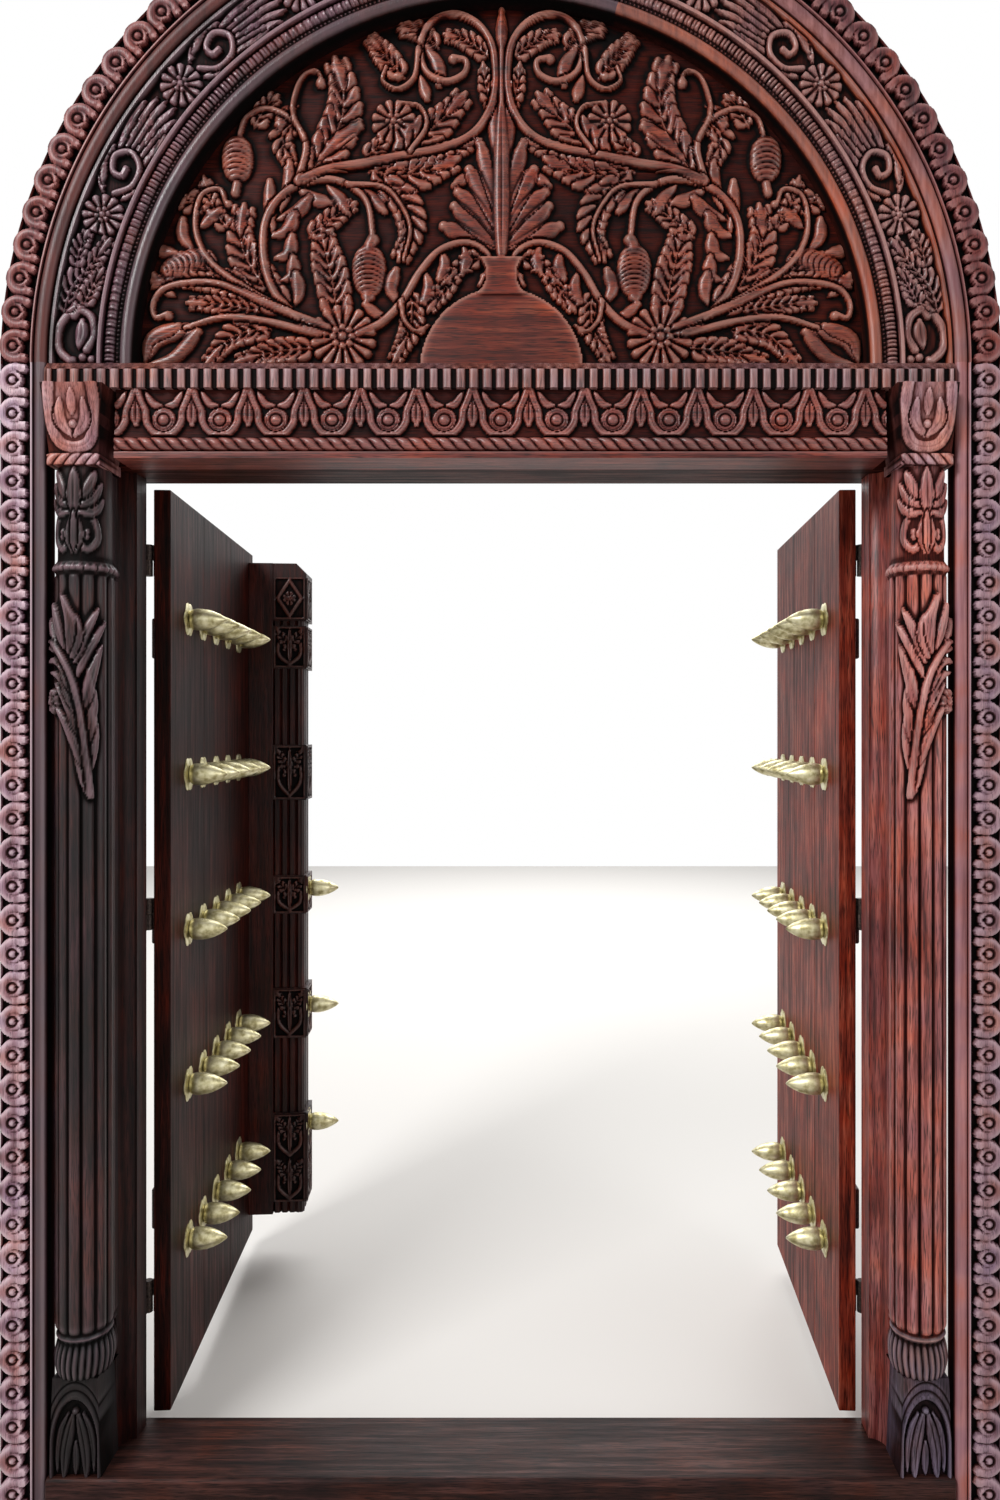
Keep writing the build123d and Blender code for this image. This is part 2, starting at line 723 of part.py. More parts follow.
# Capitals: a foot, then a block that spreads inward and forward to carry the rail, with a
# horseshoe raised on its leaning front
capital_foot_height = 20.0
capital_foot_half_width = 52.0
capital_foot_front_y = -116.0
capital_foot_lip = 4.0
capital_inner_x = 764.0
capital_outer_x = 884.0
capital_front_y = -150.0
capital_shoe_half_width = 34.0
capital_shoe_bar = 13.0
capital_shoe_margin = 14.0
capital_shoe_relief = 7.0
capital_block_z = capital_z + capital_foot_height
capital_block_front_y = capital_foot_front_y + capital_foot_lip
capital_shoe_base = capital_block_z + capital_shoe_margin

with BuildPart() as capital_shoe:
    with BuildSketch(Plane.XZ.offset(-frame_front_y)):
        with Locations((-column_x, 0)):
            Polygon(
                (-capital_shoe_half_width, rail_z),
                (-capital_shoe_half_width, capital_shoe_base + 2 * capital_shoe_bar),
                (-capital_shoe_half_width / 2, capital_shoe_base),
                (capital_shoe_half_width / 2, capital_shoe_base),
                (capital_shoe_half_width, capital_shoe_base + 2 * capital_shoe_bar),
                (capital_shoe_half_width, rail_z),
                (capital_shoe_half_width - capital_shoe_bar, rail_z),
                (capital_shoe_half_width - capital_shoe_bar, capital_shoe_base + 2.5 * capital_shoe_bar),
                (0, capital_shoe_base + capital_shoe_bar),
                (capital_shoe_bar - capital_shoe_half_width, capital_shoe_base + 2.5 * capital_shoe_bar),
                (capital_shoe_bar - capital_shoe_half_width, rail_z),
                align=None,
            )
    extrude(amount=frame_front_y - capital_front_y)
    with BuildSketch(Plane.YZ):
        with BuildLine():
            Polyline(
                (frame_front_y, capital_block_z),
                (capital_block_front_y - capital_shoe_relief, capital_block_z),
                (capital_front_y, rail_z),
                (frame_front_y, rail_z),
                close=True,
            )
        make_face()
    extrude(amount=2 * frame_half_width, both=True, mode=Mode.INTERSECT)

with BuildPart() as capital_left:
    with BuildSketch(Plane.XZ.offset(-frame_front_y)):
        with BuildLine():
            Polyline(
                (-column_x - capital_foot_half_width + capital_foot_lip, capital_block_z),
                (-column_x + capital_foot_half_width - capital_foot_lip, capital_block_z),
                (-capital_inner_x, rail_z),
                (-capital_outer_x, rail_z),
                close=True,
            )
        make_face()
    extrude(amount=frame_front_y - capital_front_y)
    with BuildSketch(Plane.YZ):
        with BuildLine():
            Polyline(
                (frame_front_y, capital_block_z),
                (capital_block_front_y, capital_block_z),
                (capital_front_y + capital_shoe_relief, rail_z),
                (frame_front_y, rail_z),
                close=True,
            )
        make_face()
    extrude(amount=2 * frame_half_width, both=True, mode=Mode.INTERSECT)
    with BuildSketch(Plane.XY.offset(capital_z)):
        with Locations((-column_x, (capital_foot_front_y + frame_front_y) / 2)):
            Rectangle(2 * capital_foot_half_width, frame_front_y - capital_foot_front_y)
    extrude(amount=capital_foot_height)
    add(capital_shoe.part)
capital_left.part.label = "capital_left"
export_step(capital_left.part, "parts/capital_left.step")

with BuildPart() as capital_right:
    mirror(capital_left.part, about=Plane.YZ)
capital_right.part.label = "capital_right"
export_step(capital_right.part, "parts/capital_right.step")

# Leaves: each is three planks with ledges across the back, hung on three pin hinges.
# A leaf's own plane stands at its pin: x runs along the leaf to the meeting edge.
pin_x = 772.0
pin_y = 119.0
leaf_thickness = 36.0
leaf_inner_gap = 13.5
leaf_edge_past_pin = 10.0
leaf_lap = 5.0
leaf_top_gap = 11.0
leaf_bottom_z = tread_z - leaf_lap
leaf_top_z = head_z - leaf_top_gap
left_leaf_reach = 817.0
right_leaf_reach = 725.0
left_open_deg = 93.7
right_open_deg = 92.3
plank_count = 3

left_x_dir = (cos(radians(left_open_deg)), sin(radians(left_open_deg)), 0)
right_x_dir = (-cos(radians(right_open_deg)), sin(radians(right_open_deg)), 0)
left_leaf = Plane(origin=(-pin_x, pin_y, 0), x_dir=left_x_dir, z_dir=(0, 0, 1))
right_leaf = Plane(origin=(pin_x, pin_y, 0), x_dir=right_x_dir, z_dir=(0, 0, 1))

# Ledges: battens nailed across the planks on the room side
ledge_thickness = 26.0
ledge_height = 90.0
ledge_rise = 405.0
ledge_drop = 315.0
ledge_start = 60.0
ledge_end_gap = 40.0
ledge_low_z = leaf_bottom_z + ledge_rise
ledge_high_z = leaf_top_z - ledge_drop
ledge_levels = (ledge_low_z, (ledge_low_z + ledge_high_z) / 2, ledge_high_z)

# Hinges: the frame plate carries the lower barrel with the pin, the leaf plate the upper barrel
hinge_rise = 245.0
hinge_middle_rise = 1072.0
hinge_drop = 152.0
hinge_levels = (leaf_bottom_z + hinge_rise, leaf_bottom_z + hinge_middle_rise, leaf_top_z - hinge_drop)
hinge_half_height = 34.0
barrel_radius = 9.0
barrel_sides = 12
pin_sides = 8
barrel_gap = 0.5
pin_radius = 4.5
pin_bore_radius = 5.0
pin_length = 26.0
bore_depth = 28.0
plate_thickness = 3.5
plate_width = 52.0
plate_start = 2.0
web_width = 6.0

# Spikes: cast brass, each on a lobed plate, five rows of five on each leaf
spike_columns = 5
spike_rows = 5
spike_first = 130.0
spike_pitch = 125.0
spike_rise = 305.0
spike_drop = 265.0
spike_low_z = leaf_bottom_z + spike_rise
spike_row_pitch = (leaf_top_z - spike_drop - spike_low_z) / (spike_rows - 1)
spike_sides = 6
spike_radius = 25.0
spike_shoulder_radius = 15.0
spike_shoulder = 62.0
spike_tip_radius = 1.5
spike_length = 84.0
rosette_plate_radius = 40.0
rosette_plate_thickness = 4.0
rosette_plate_sides = 6

with BuildPart() as spike:
    with BuildSketch(Plane.XY):
        RegularPolygon(spike_radius, spike_sides)
    extrude(
        amount=spike_shoulder,
        taper=slope(spike_radius - spike_shoulder_radius, spike_shoulder, spike_sides),
    )
    with BuildSketch(Plane.XY.offset(spike_shoulder)):
        RegularPolygon(spike_shoulder_radius, spike_sides)
    extrude(
        amount=spike_length - spike_shoulder,
        taper=slope(spike_shoulder_radius - spike_tip_radius, spike_length - spike_shoulder, spike_sides),
    )

with BuildPart() as rosette_plate:
    with BuildSketch(Plane.XY):
        RegularPolygon(rosette_plate_radius, rosette_plate_sides)
    extrude(amount=rosette_plate_thickness)

# Centre post on the left leaf: a plain base board, then carved blocks with reeded shafts between
# them. The blocks stand at shares of the post's height; the top one has a sloped street edge.
post_start = 761.0
post_end = 872.0
post_base_depth = 69.0
post_carved_depth = 96.0
post_bottom_gap = 64.0
post_top_gap = 42.0
post_rebate = 1.0
post_inset = 3.0
post_shaft_inset = 9.0
post_front_reeds = 3
post_side_reeds = 4
post_chamfer = 29.0
post_bottom_z = tread_z + post_bottom_gap
post_top_z = head_z - post_top_gap
post_height = post_top_z - post_bottom_z
post_block_shares = ((0.018, 0.155), (0.27, 0.347), (0.461, 0.52))
post_block_shares = post_block_shares + ((0.636, 0.721), (0.838, 0.904), (0.912, 1.0))
post_spike_shares = (0.134, 0.317, 0.498)

for side in ("left", "right"):
    leaf = left_leaf if side == "left" else right_leaf
    reach = left_leaf_reach if side == "left" else right_leaf_reach
    # The leaf lies on the street side of its pin, which is minus y on the left leaf's plane
    # and plus y on the right leaf's plane.
    outward = -1 if side == "left" else 1
    inner_face = outward * leaf_inner_gap
    outer_face = outward * (leaf_inner_gap + leaf_thickness)
    plank_width = (reach + leaf_edge_past_pin) / plank_count

    for number in range(plank_count):
        with BuildPart() as plank:
            with BuildSketch(leaf.offset(leaf_bottom_z)):
                with Locations(
                    (
                        -leaf_edge_past_pin + (number + 0.5) * plank_width,
                        (inner_face + outer_face) / 2,
                    )
                ):
                    Rectangle(plank_width, leaf_thickness)
            extrude(amount=leaf_top_z - leaf_bottom_z)
        plank.part.label = f"{side}_plank_{number + 1}"
        export_step(plank.part, f"parts/{side}_plank_{number + 1}.step")

    with BuildPart() as ledges:
        for level in ledge_levels:
            with BuildSketch(leaf.offset(level - ledge_height / 2)):
                with Locations(
                    (
                        (ledge_start + reach - ledge_end_gap) / 2,
                        inner_face - outward * ledge_thickness / 2,
                    )
                ):
                    Rectangle(reach - ledge_end_gap - ledge_start, ledge_thickness)
            extrude(amount=ledge_height)
    ledges.part.label = f"{side}_ledges"
    export_step(ledges.part, f"parts/{side}_ledges.step")

    with BuildPart() as leaf_hinge_plates:
        for level in hinge_levels:
            with BuildSketch(leaf.offset(level + barrel_gap)):
                RegularPolygon(barrel_radius, barrel_sides)
                with Locations((web_width / 2, outward * leaf_inner_gap / 2)):
                    Rectangle(web_width, leaf_inner_gap)
            extrude(amount=hinge_half_height - barrel_gap)
            with BuildSketch(leaf.offset(level - hinge_half_height)):
                with Locations(
                    (plate_width / 2, outward * (leaf_inner_gap - plate_thickness / 2))
                ):
                    Rectangle(plate_width, plate_thickness)
            extrude(amount=2 * hinge_half_height)
            with BuildSketch(leaf.offset(level + barrel_gap)):
                RegularPolygon(pin_bore_radius, pin_sides)
            extrude(amount=bore_depth, mode=Mode.SUBTRACT)
    leaf_hinge_plates.part.label = f"{side}_leaf_hinge_plates"
    export_step(leaf_hinge_plates.part, f"parts/{side}_leaf_hinge_plates.step")

    sign = -1 if side == "left" else 1
    with BuildPart() as frame_hinge_plates:
        for level in hinge_levels:
            with BuildSketch(Plane.XY.offset(level - hinge_half_height)):
                with Locations((sign * pin_x, pin_y)):
                    RegularPolygon(barrel_radius, barrel_sides)
                with Locations((sign * (pin_x + web_width / 2), (frame_back_y + pin_y) / 2)):
                    Rectangle(web_width, pin_y - frame_back_y)
            extrude(amount=hinge_half_height)
            with BuildSketch(Plane.XY.offset(level - hinge_half_height)):
                with Locations(
                    (
                        sign * (pin_x + plate_start + plate_width / 2),
                        frame_back_y + plate_thickness / 2,
                    )
                ):
                    Rectangle(plate_width, plate_thickness)
            extrude(amount=2 * hinge_half_height)
            with BuildSketch(Plane.XY.offset(level)):
                with Locations((sign * pin_x, pin_y)):
                    RegularPolygon(pin_radius, pin_sides)
            extrude(amount=pin_length)
    frame_hinge_plates.part.label = f"{side}_frame_hinge_plates"
    export_step(frame_hinge_plates.part, f"parts/{side}_frame_hinge_plates.step")

    # The face plane looks out of the leaf's street side: x along the leaf, y down or up
    face_point = leaf.from_local_coords((0, outer_face, 0))
    face_normal = leaf.y_dir * outward
    face_plane = Plane(origin=face_point, x_dir=leaf.x_dir, z_dir=face_normal)
    up = 1 if face_plane.y_dir.Z > 0 else -1
    spike_points = [
        (spike_first + i * spike_pitch, up * (spike_low_z + j * spike_row_pitch))
        for i in range(spike_columns)
        for j in range(spike_rows)
    ]
    with BuildPart(face_plane) as spike_plates:
        with Locations(*spike_points):
            add(rosette_plate.part)
    spike_plates.part.label = f"{side}_spike_plates"
    export_step(spike_plates.part, f"parts/{side}_spike_plates.step")

    with BuildPart(face_plane.offset(rosette_plate_thickness)) as spikes:
        with Locations(*spike_points):
            add(spike.part)
    spikes.part.label = f"{side}_spikes"
    export_step(spikes.part, f"parts/{side}_spikes.step")

    if side == "left":
        post_middle = (post_start + post_end) / 2
        post_width = post_end - post_start
        post_base_face = outer_face + outward * post_base_depth
        post_front = post_base_face + outward * post_carved_depth
        with BuildPart() as centre_post:
            with BuildSketch(leaf.offset(post_bottom_z)):
                with Locations((post_middle, (outer_face + post_base_face) / 2)):
                    Rectangle(post_width, post_base_depth)
                with Locations(
                    ((left_leaf_reach + post_end) / 2, outer_face + outward * post_rebate / 2)
                ):
                    Rectangle(post_end - left_leaf_reach, post_rebate, mode=Mode.SUBTRACT)
            extrude(amount=post_height)
            front_reed = (post_width - 2 * post_shaft_inset) / post_front_reeds
            side_reed = (post_carved_depth - post_shaft_inset) / post_side_reeds
            shaft_face = post_front - outward * post_shaft_inset
            reed_size = 0.56 * front_reed
            side_size = 0.56 * side_reed
            with BuildSketch(leaf.offset(post_bottom_z)):
                with Locations((post_middle, (post_base_face + shaft_face - outward * reed_size) / 2)):
                    Rectangle(
                        post_width - 2 * post_shaft_inset - 2 * side_size,
                        abs(shaft_face - outward * reed_size - post_base_face),
                    )
                with Locations((post_middle, shaft_face - outward * reed_size * cos(radians(30)))):
                    with GridLocations(front_reed, 1, post_front_reeds, 1):
                        RegularPolygon(reed_size, 6)
                with Locations(
                    (
                        post_start + post_shaft_inset + side_size * cos(radians(30)),
                        (post_base_face + shaft_face) / 2,
                    )
                ):
                    with GridLocations(1, side_reed, 1, post_side_reeds):
                        RegularPolygon(side_size, 6, rotation=30)
                with Locations((post_middle, post_base_face - outward * post_base_depth / 2)):
                    Rectangle(post_width, post_base_depth, mode=Mode.SUBTRACT)
            extrude(amount=post_height)
            for low, high in post_block_shares:
                with BuildSketch(leaf.offset(post_bottom_z + low * post_height)):
                    with Locations((post_middle, (post_base_face + post_front) / 2)):
                        Rectangle(post_width - 2 * post_inset, post_carved_depth)
                extrude(amount=(high - low) * post_height)
            top_edges = centre_post.edges().group_by(Axis.Z)[-1]
            street_edge = max(top_edges, key=lambda edge: (edge.center() - leaf.origin).dot(face_normal))
            chamfer(street_edge, post_chamfer)
        centre_post.part.label = "centre_post"
        export_step(centre_post.part, "parts/centre_post.step")

        post_face = face_plane.offset(post_base_depth + post_carved_depth)
        post_points = [
            (post_middle, up * (post_bottom_z + share * post_height)) for share in post_spike_shares
        ]
        with BuildPart(post_face) as post_spike_plates:
            with Locations(*post_points):
                add(rosette_plate.part)
        post_spike_plates.part.label = "post_spike_plates"
        export_step(post_spike_plates.part, "parts/post_spike_plates.step")

        with BuildPart(post_face.offset(rosette_plate_thickness)) as post_spikes:
            with Locations(*post_points):
                add(spike.part)
        post_spikes.part.label = "post_spikes"
        export_step(post_spikes.part, "parts/post_spikes.step")
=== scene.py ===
import math

import bmesh
import bpy
import numpy as np
from mathutils import Matrix, Vector


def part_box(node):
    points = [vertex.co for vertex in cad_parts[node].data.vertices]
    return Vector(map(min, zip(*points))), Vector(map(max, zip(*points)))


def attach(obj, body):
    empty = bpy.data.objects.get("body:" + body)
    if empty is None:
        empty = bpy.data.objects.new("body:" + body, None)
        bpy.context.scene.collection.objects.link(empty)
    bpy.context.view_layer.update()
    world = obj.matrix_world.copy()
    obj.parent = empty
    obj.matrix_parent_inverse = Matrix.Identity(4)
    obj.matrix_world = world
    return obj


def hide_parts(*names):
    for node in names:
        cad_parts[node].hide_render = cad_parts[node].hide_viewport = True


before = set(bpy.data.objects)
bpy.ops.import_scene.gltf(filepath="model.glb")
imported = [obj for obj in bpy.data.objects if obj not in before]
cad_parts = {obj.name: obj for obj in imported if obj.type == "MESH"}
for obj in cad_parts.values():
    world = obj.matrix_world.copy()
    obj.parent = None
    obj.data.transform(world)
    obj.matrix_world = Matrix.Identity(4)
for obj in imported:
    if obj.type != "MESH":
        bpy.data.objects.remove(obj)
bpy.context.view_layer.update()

# Threshold: one beam of hardwood laid flat across the doorway, with a lower strip behind the step
# that the leaves close against. It is sawn, planed and oiled, and feet have worn its front arris.


def srgb(code):
    """A colour written as sRGB hex, turned to the linear values that shaders work in."""
    channels = [int(code[i : i + 2], 16) / 255 for i in (1, 3, 5)]
    linear = [c / 12.92 if c <= 0.04045 else ((c + 0.055) / 1.055) ** 2.4 for c in channels]
    return (*linear, 1.0)


def node(tree, kind, settings=None, links=None):
    """Adds one shader node. Settings are attributes, values of sockets, or the stops of a colour
    ramp as places and hex colours. Links are sockets or values."""
    made = tree.nodes.new("ShaderNode" + kind)
    for name, value in (settings or {}).items():
        if name == "stops":
            points = made.color_ramp.elements
            while len(points) < len(value):
                points.new(1.0)
            for point, (place, code) in zip(points, value):
                point.position = place
                point.color = srgb(code)
        elif isinstance(name, str) and hasattr(made, name):
            setattr(made, name, value)
        else:
            made.inputs[name].default_value = value
    for name, value in (links or {}).items():
        if isinstance(value, bpy.types.NodeSocket):
            tree.links.new(value, made.inputs[name])
        else:
            made.inputs[name].default_value = value
    return made


def hardwood(name, colours, grain_along, pore=0.9, gloss=0.42, carved=None, sheen=0.27, fresh=None):
    """Oiled red hardwood: long streaks of darker heartwood, and short open pores along the grain.
    On carved work the knife's ridges are rubbed pale, and the hollows are darkened and given little specular
    as painted shade."""
    dark, middle, pale = colours
    material = bpy.data.materials.new(name)
    material.use_nodes = True
    tree = material.node_tree
    shader = tree.nodes["Principled BSDF"]
    place = {"Vector": node(tree, "TexCoord").outputs["Object"]}
    stretch = [1.0, 1.0, 1.0]
    stretch["XYZ".index(grain_along)] = 0.05
    along = {"Vector": node(tree, "Mapping", {"Scale": stretch}, place).outputs[0]}
    # Heartwood streaks about 12 mm wide, pores about a millimetre across, and broad clouds
    streaks = node(tree, "TexNoise", {"Scale": 80.0, "Detail": 5.0, "Roughness": 0.62}, along).outputs[0]
    pores = node(tree, "TexNoise", {"Scale": 520.0, "Detail": 2.0, "Roughness": 0.5}, along).outputs[0]
    clouds = node(tree, "TexNoise", {"Scale": 4.0, "Detail": 3.0}, place).outputs[0]
    spread = node(tree, "Math", {"operation": "MULTIPLY_ADD", 1: 0.45}, {0: clouds, 2: -0.22}).outputs[0]
    tone = {0: node(tree, "Math", {"operation": "ADD"}, {0: streaks, 1: spread}).outputs[0]}
    grain = node(tree, "ValToRGB", {"stops": [(0.3, dark), (0.5, middle), (0.72, pale)]}, tone).outputs[0]
    pore_stops = [(0.36, "#6a6a6a"), (0.5, "#ffffff")]
    pore_shade = node(tree, "ValToRGB", {"stops": pore_stops}, {0: pores}).outputs[0]
    lay = {"data_type": "RGBA", "blend_type": "MIX"}
    shade = {"data_type": "RGBA", "blend_type": "MULTIPLY"}
    colour = node(tree, "Mix", {**shade, 0: pore}, {6: grain, 7: pore_shade}).outputs[2]
    if fresh:
        # Mouldings take their own colours: a darker copy as painted shade on the left side, and a paler one
        # as painted light on the right
        moulding_light_and_shade = node(tree, "Attribute", {"attribute_name": "fresh"}).outputs["Fac"]
        moulding_grain = node(tree, "ValToRGB", {"stops": [(0.3, fresh[0]), (0.7, fresh[1])]}, tone).outputs[0]
        colour = node(tree, "Mix", lay, {0: moulding_light_and_shade, 6: colour, 7: moulding_grain}).outputs[2]
    # Red where oil is fresh, browner or purple where it has dried, in patches of a hand's width
    patches = node(tree, "TexNoise", {"Scale": 11.0, "Detail": 2.0}, place).outputs[0]
    patch_stops = [(0.35, "#ffd8b8"), (0.5, "#f2f2f2"), (0.66, "#cfd6ee")]
    patch_hue = node(tree, "ValToRGB", {"stops": patch_stops}, {0: patches}).outputs[0]
    colour = node(tree, "Mix", {**shade, 0: 0.8}, {6: colour, 7: patch_hue}).outputs[2]
    rough_range = {1: 0.3, 2: 0.7, 3: gloss + 0.1, 4: gloss - 0.08}
    rough = node(tree, "MapRange", rough_range, {0: streaks}).outputs[0]
    shader.inputs["Specular IOR Level"].default_value = sheen
    if carved:
        wear = node(tree, "Attribute", {"attribute_name": "wear"}).outputs["Fac"]
        # Painted shade: the dark end of this ramp darkens the hollows, and the pale end is wear rubbed on
        # the ridges
        rub_and_shade_stops = [(0.08, "#140807"), (0.38, "#785a54"), (0.55, "#ffffff")]
        rubbed = node(tree, "ValToRGB", {"stops": rub_and_shade_stops}, {0: wear}).outputs[0]
        colour = node(tree, "Mix", {**shade, 0: 1.0}, {6: colour, 7: rubbed}).outputs[2]
        ridge = node(tree, "MapRange", {1: 0.62, 2: 1.0, 3: 0.0, 4: 0.5}, {0: wear}).outputs[0]
        colour = node(tree, "Mix", {**lay, 7: srgb(carved)}, {0: ridge, 6: colour}).outputs[2]
        rough = node(tree, "MapRange", {1: 0.2, 2: 0.7, 3: 0.75, 4: gloss}, {0: wear}).outputs[0]
        # The weak specular in the hollows stands in for their shade
        shine = node(tree, "MapRange", {1: 0.36, 2: 0.6, 3: 0.08, 4: sheen + 0.1}, {0: wear}).outputs[0]
        tree.links.new(shine, shader.inputs["Specular IOR Level"])
    tree.links.new(colour, shader.inputs["Base Color"])
    tree.links.new(rough, shader.inputs["Roughness"])
    height = node(tree, "Math", {"operation": "ADD"}, {0: streaks, 1: pores}).outputs[0]
    bump = node(tree, "Bump", {"Strength": 0.35, "Distance": 0.0012}, {"Height": height}).outputs[0]
    tree.links.new(bump, shader.inputs["Normal"])
    return material


def settle(mesh, material, body, slot, *nodes):
    """Puts one finished mesh in the scene: its finish, the body it rides on, what it stands for."""
    mesh.materials.clear()
    mesh.materials.append(material)
    piece = bpy.data.objects.new(mesh.name, mesh)
    bpy.context.scene.collection.objects.link(piece)
    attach(piece, body)
    if nodes:
        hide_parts(*nodes)


def eased(name, node_name, arris, material, body, slot, steps=2):
    """The plain piece that part.py gives, with its arrises rounded by hand plane."""
    maker = bmesh.new()
    maker.from_mesh(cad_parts[node_name].data)
    bmesh.ops.remove_doubles(maker, verts=maker.verts, dist=0.00001)
    bmesh.ops.dissolve_limit(maker, angle_limit=math.radians(1), verts=maker.verts, edges=maker.edges)
    sharp = math.radians(23)
    arrises = [edge for edge in maker.edges if edge.is_manifold and edge.calc_face_angle() > sharp]
    bmesh.ops.bevel(
        maker,
        geom=arrises,
        offset=arris,
        affect="EDGES",
        segments=steps,
        profile=0.5,
        material=-1,
        clamp_overlap=True,
    )
    mesh = bpy.data.meshes.new(name)
    maker.to_mesh(mesh)
    maker.free()
    settle(mesh, material, body, slot, node_name)


# Hardwood scuffed by feet: brown where the oil has gone, dark in the grain.
sill_wood = hardwood("worn_red_hardwood", ("#140706", "#301712", "#56332c"), "X", gloss=0.5, sheen=0.15)
eased("threshold_beam", "threshold", 0.005, sill_wood, "frame", "sill_wood", 3)

# Jambs, planted stops and lintel: square hardwood posts tenoned into the sill and the head, with
# a beaded strip nailed inside each post for the leaf to close against. Planed, then oiled.
# The left posts are a darker copy of this wood as painted shade, and the right ones a paler, redder copy as
# painted light
frame_wood = {
    side: hardwood("planed_red_hardwood" + kind, colours, "Z", gloss=gloss, sheen=sheen)
    for side, kind, colours, gloss, sheen in (
        ("left", "_shaded", ("#0e0504", "#240d0b", "#421d18"), 0.45, 0.15),
        ("right", "", ("#421613", "#8a403a", "#c07468"), 0.36, 0.3),
    )
}
# The head is darker and nearly without specular, as painted shade under it
shaded_head_colours = ("#180603", "#35120c", "#5e2c22")
head_wood = hardwood("planed_red_hardwood_head", shaded_head_colours, "X", gloss=0.5, sheen=0.05)
for side in ("left", "right"):
    eased("jamb_post_" + side, "jamb_" + side, 0.003, frame_wood[side], "frame", "carved_wood")
    eased("beaded_stop_" + side, "jamb_stop_" + side, 0.0015, frame_wood[side], "frame", "carved_wood")
eased("lintel_beam", "lintel", 0.003, head_wood, "frame", "carved_wood")

# Frieze: a thick board across the head, carved with scroll discs and lotuses. All the carving of
# this door is cut the same way: a ground sunk with a gouge, and the forms left and rounded over.


def follow(points, steps=5):
    """A smooth line through a few points in millimetres."""
    knots = np.array(points, float)
    knots = np.vstack([2 * knots[0] - knots[1], knots, 2 * knots[-1] - knots[-2]])
    t = np.linspace(0, 1, steps, endpoint=False)[:, None]
    spans = []
    for a, b, c, d in zip(knots[:-3], knots[1:-2], knots[2:-1], knots[3:]):
        cubic = 3 * b - a - 3 * c + d
        spans.append(0.5 * (2 * b + (c - a) * t + (2 * a - 5 * b + 4 * c - d) * t**2 + cubic * t**3))
    return np.vstack([*spans, knots[-2][None]])


def domed(away, radius=1.0):
    """A round section: 1 at its middle, and 0 from its radius outwards."""
    return np.sqrt(np.clip(1 - (away / radius) ** 2, 0, 1))


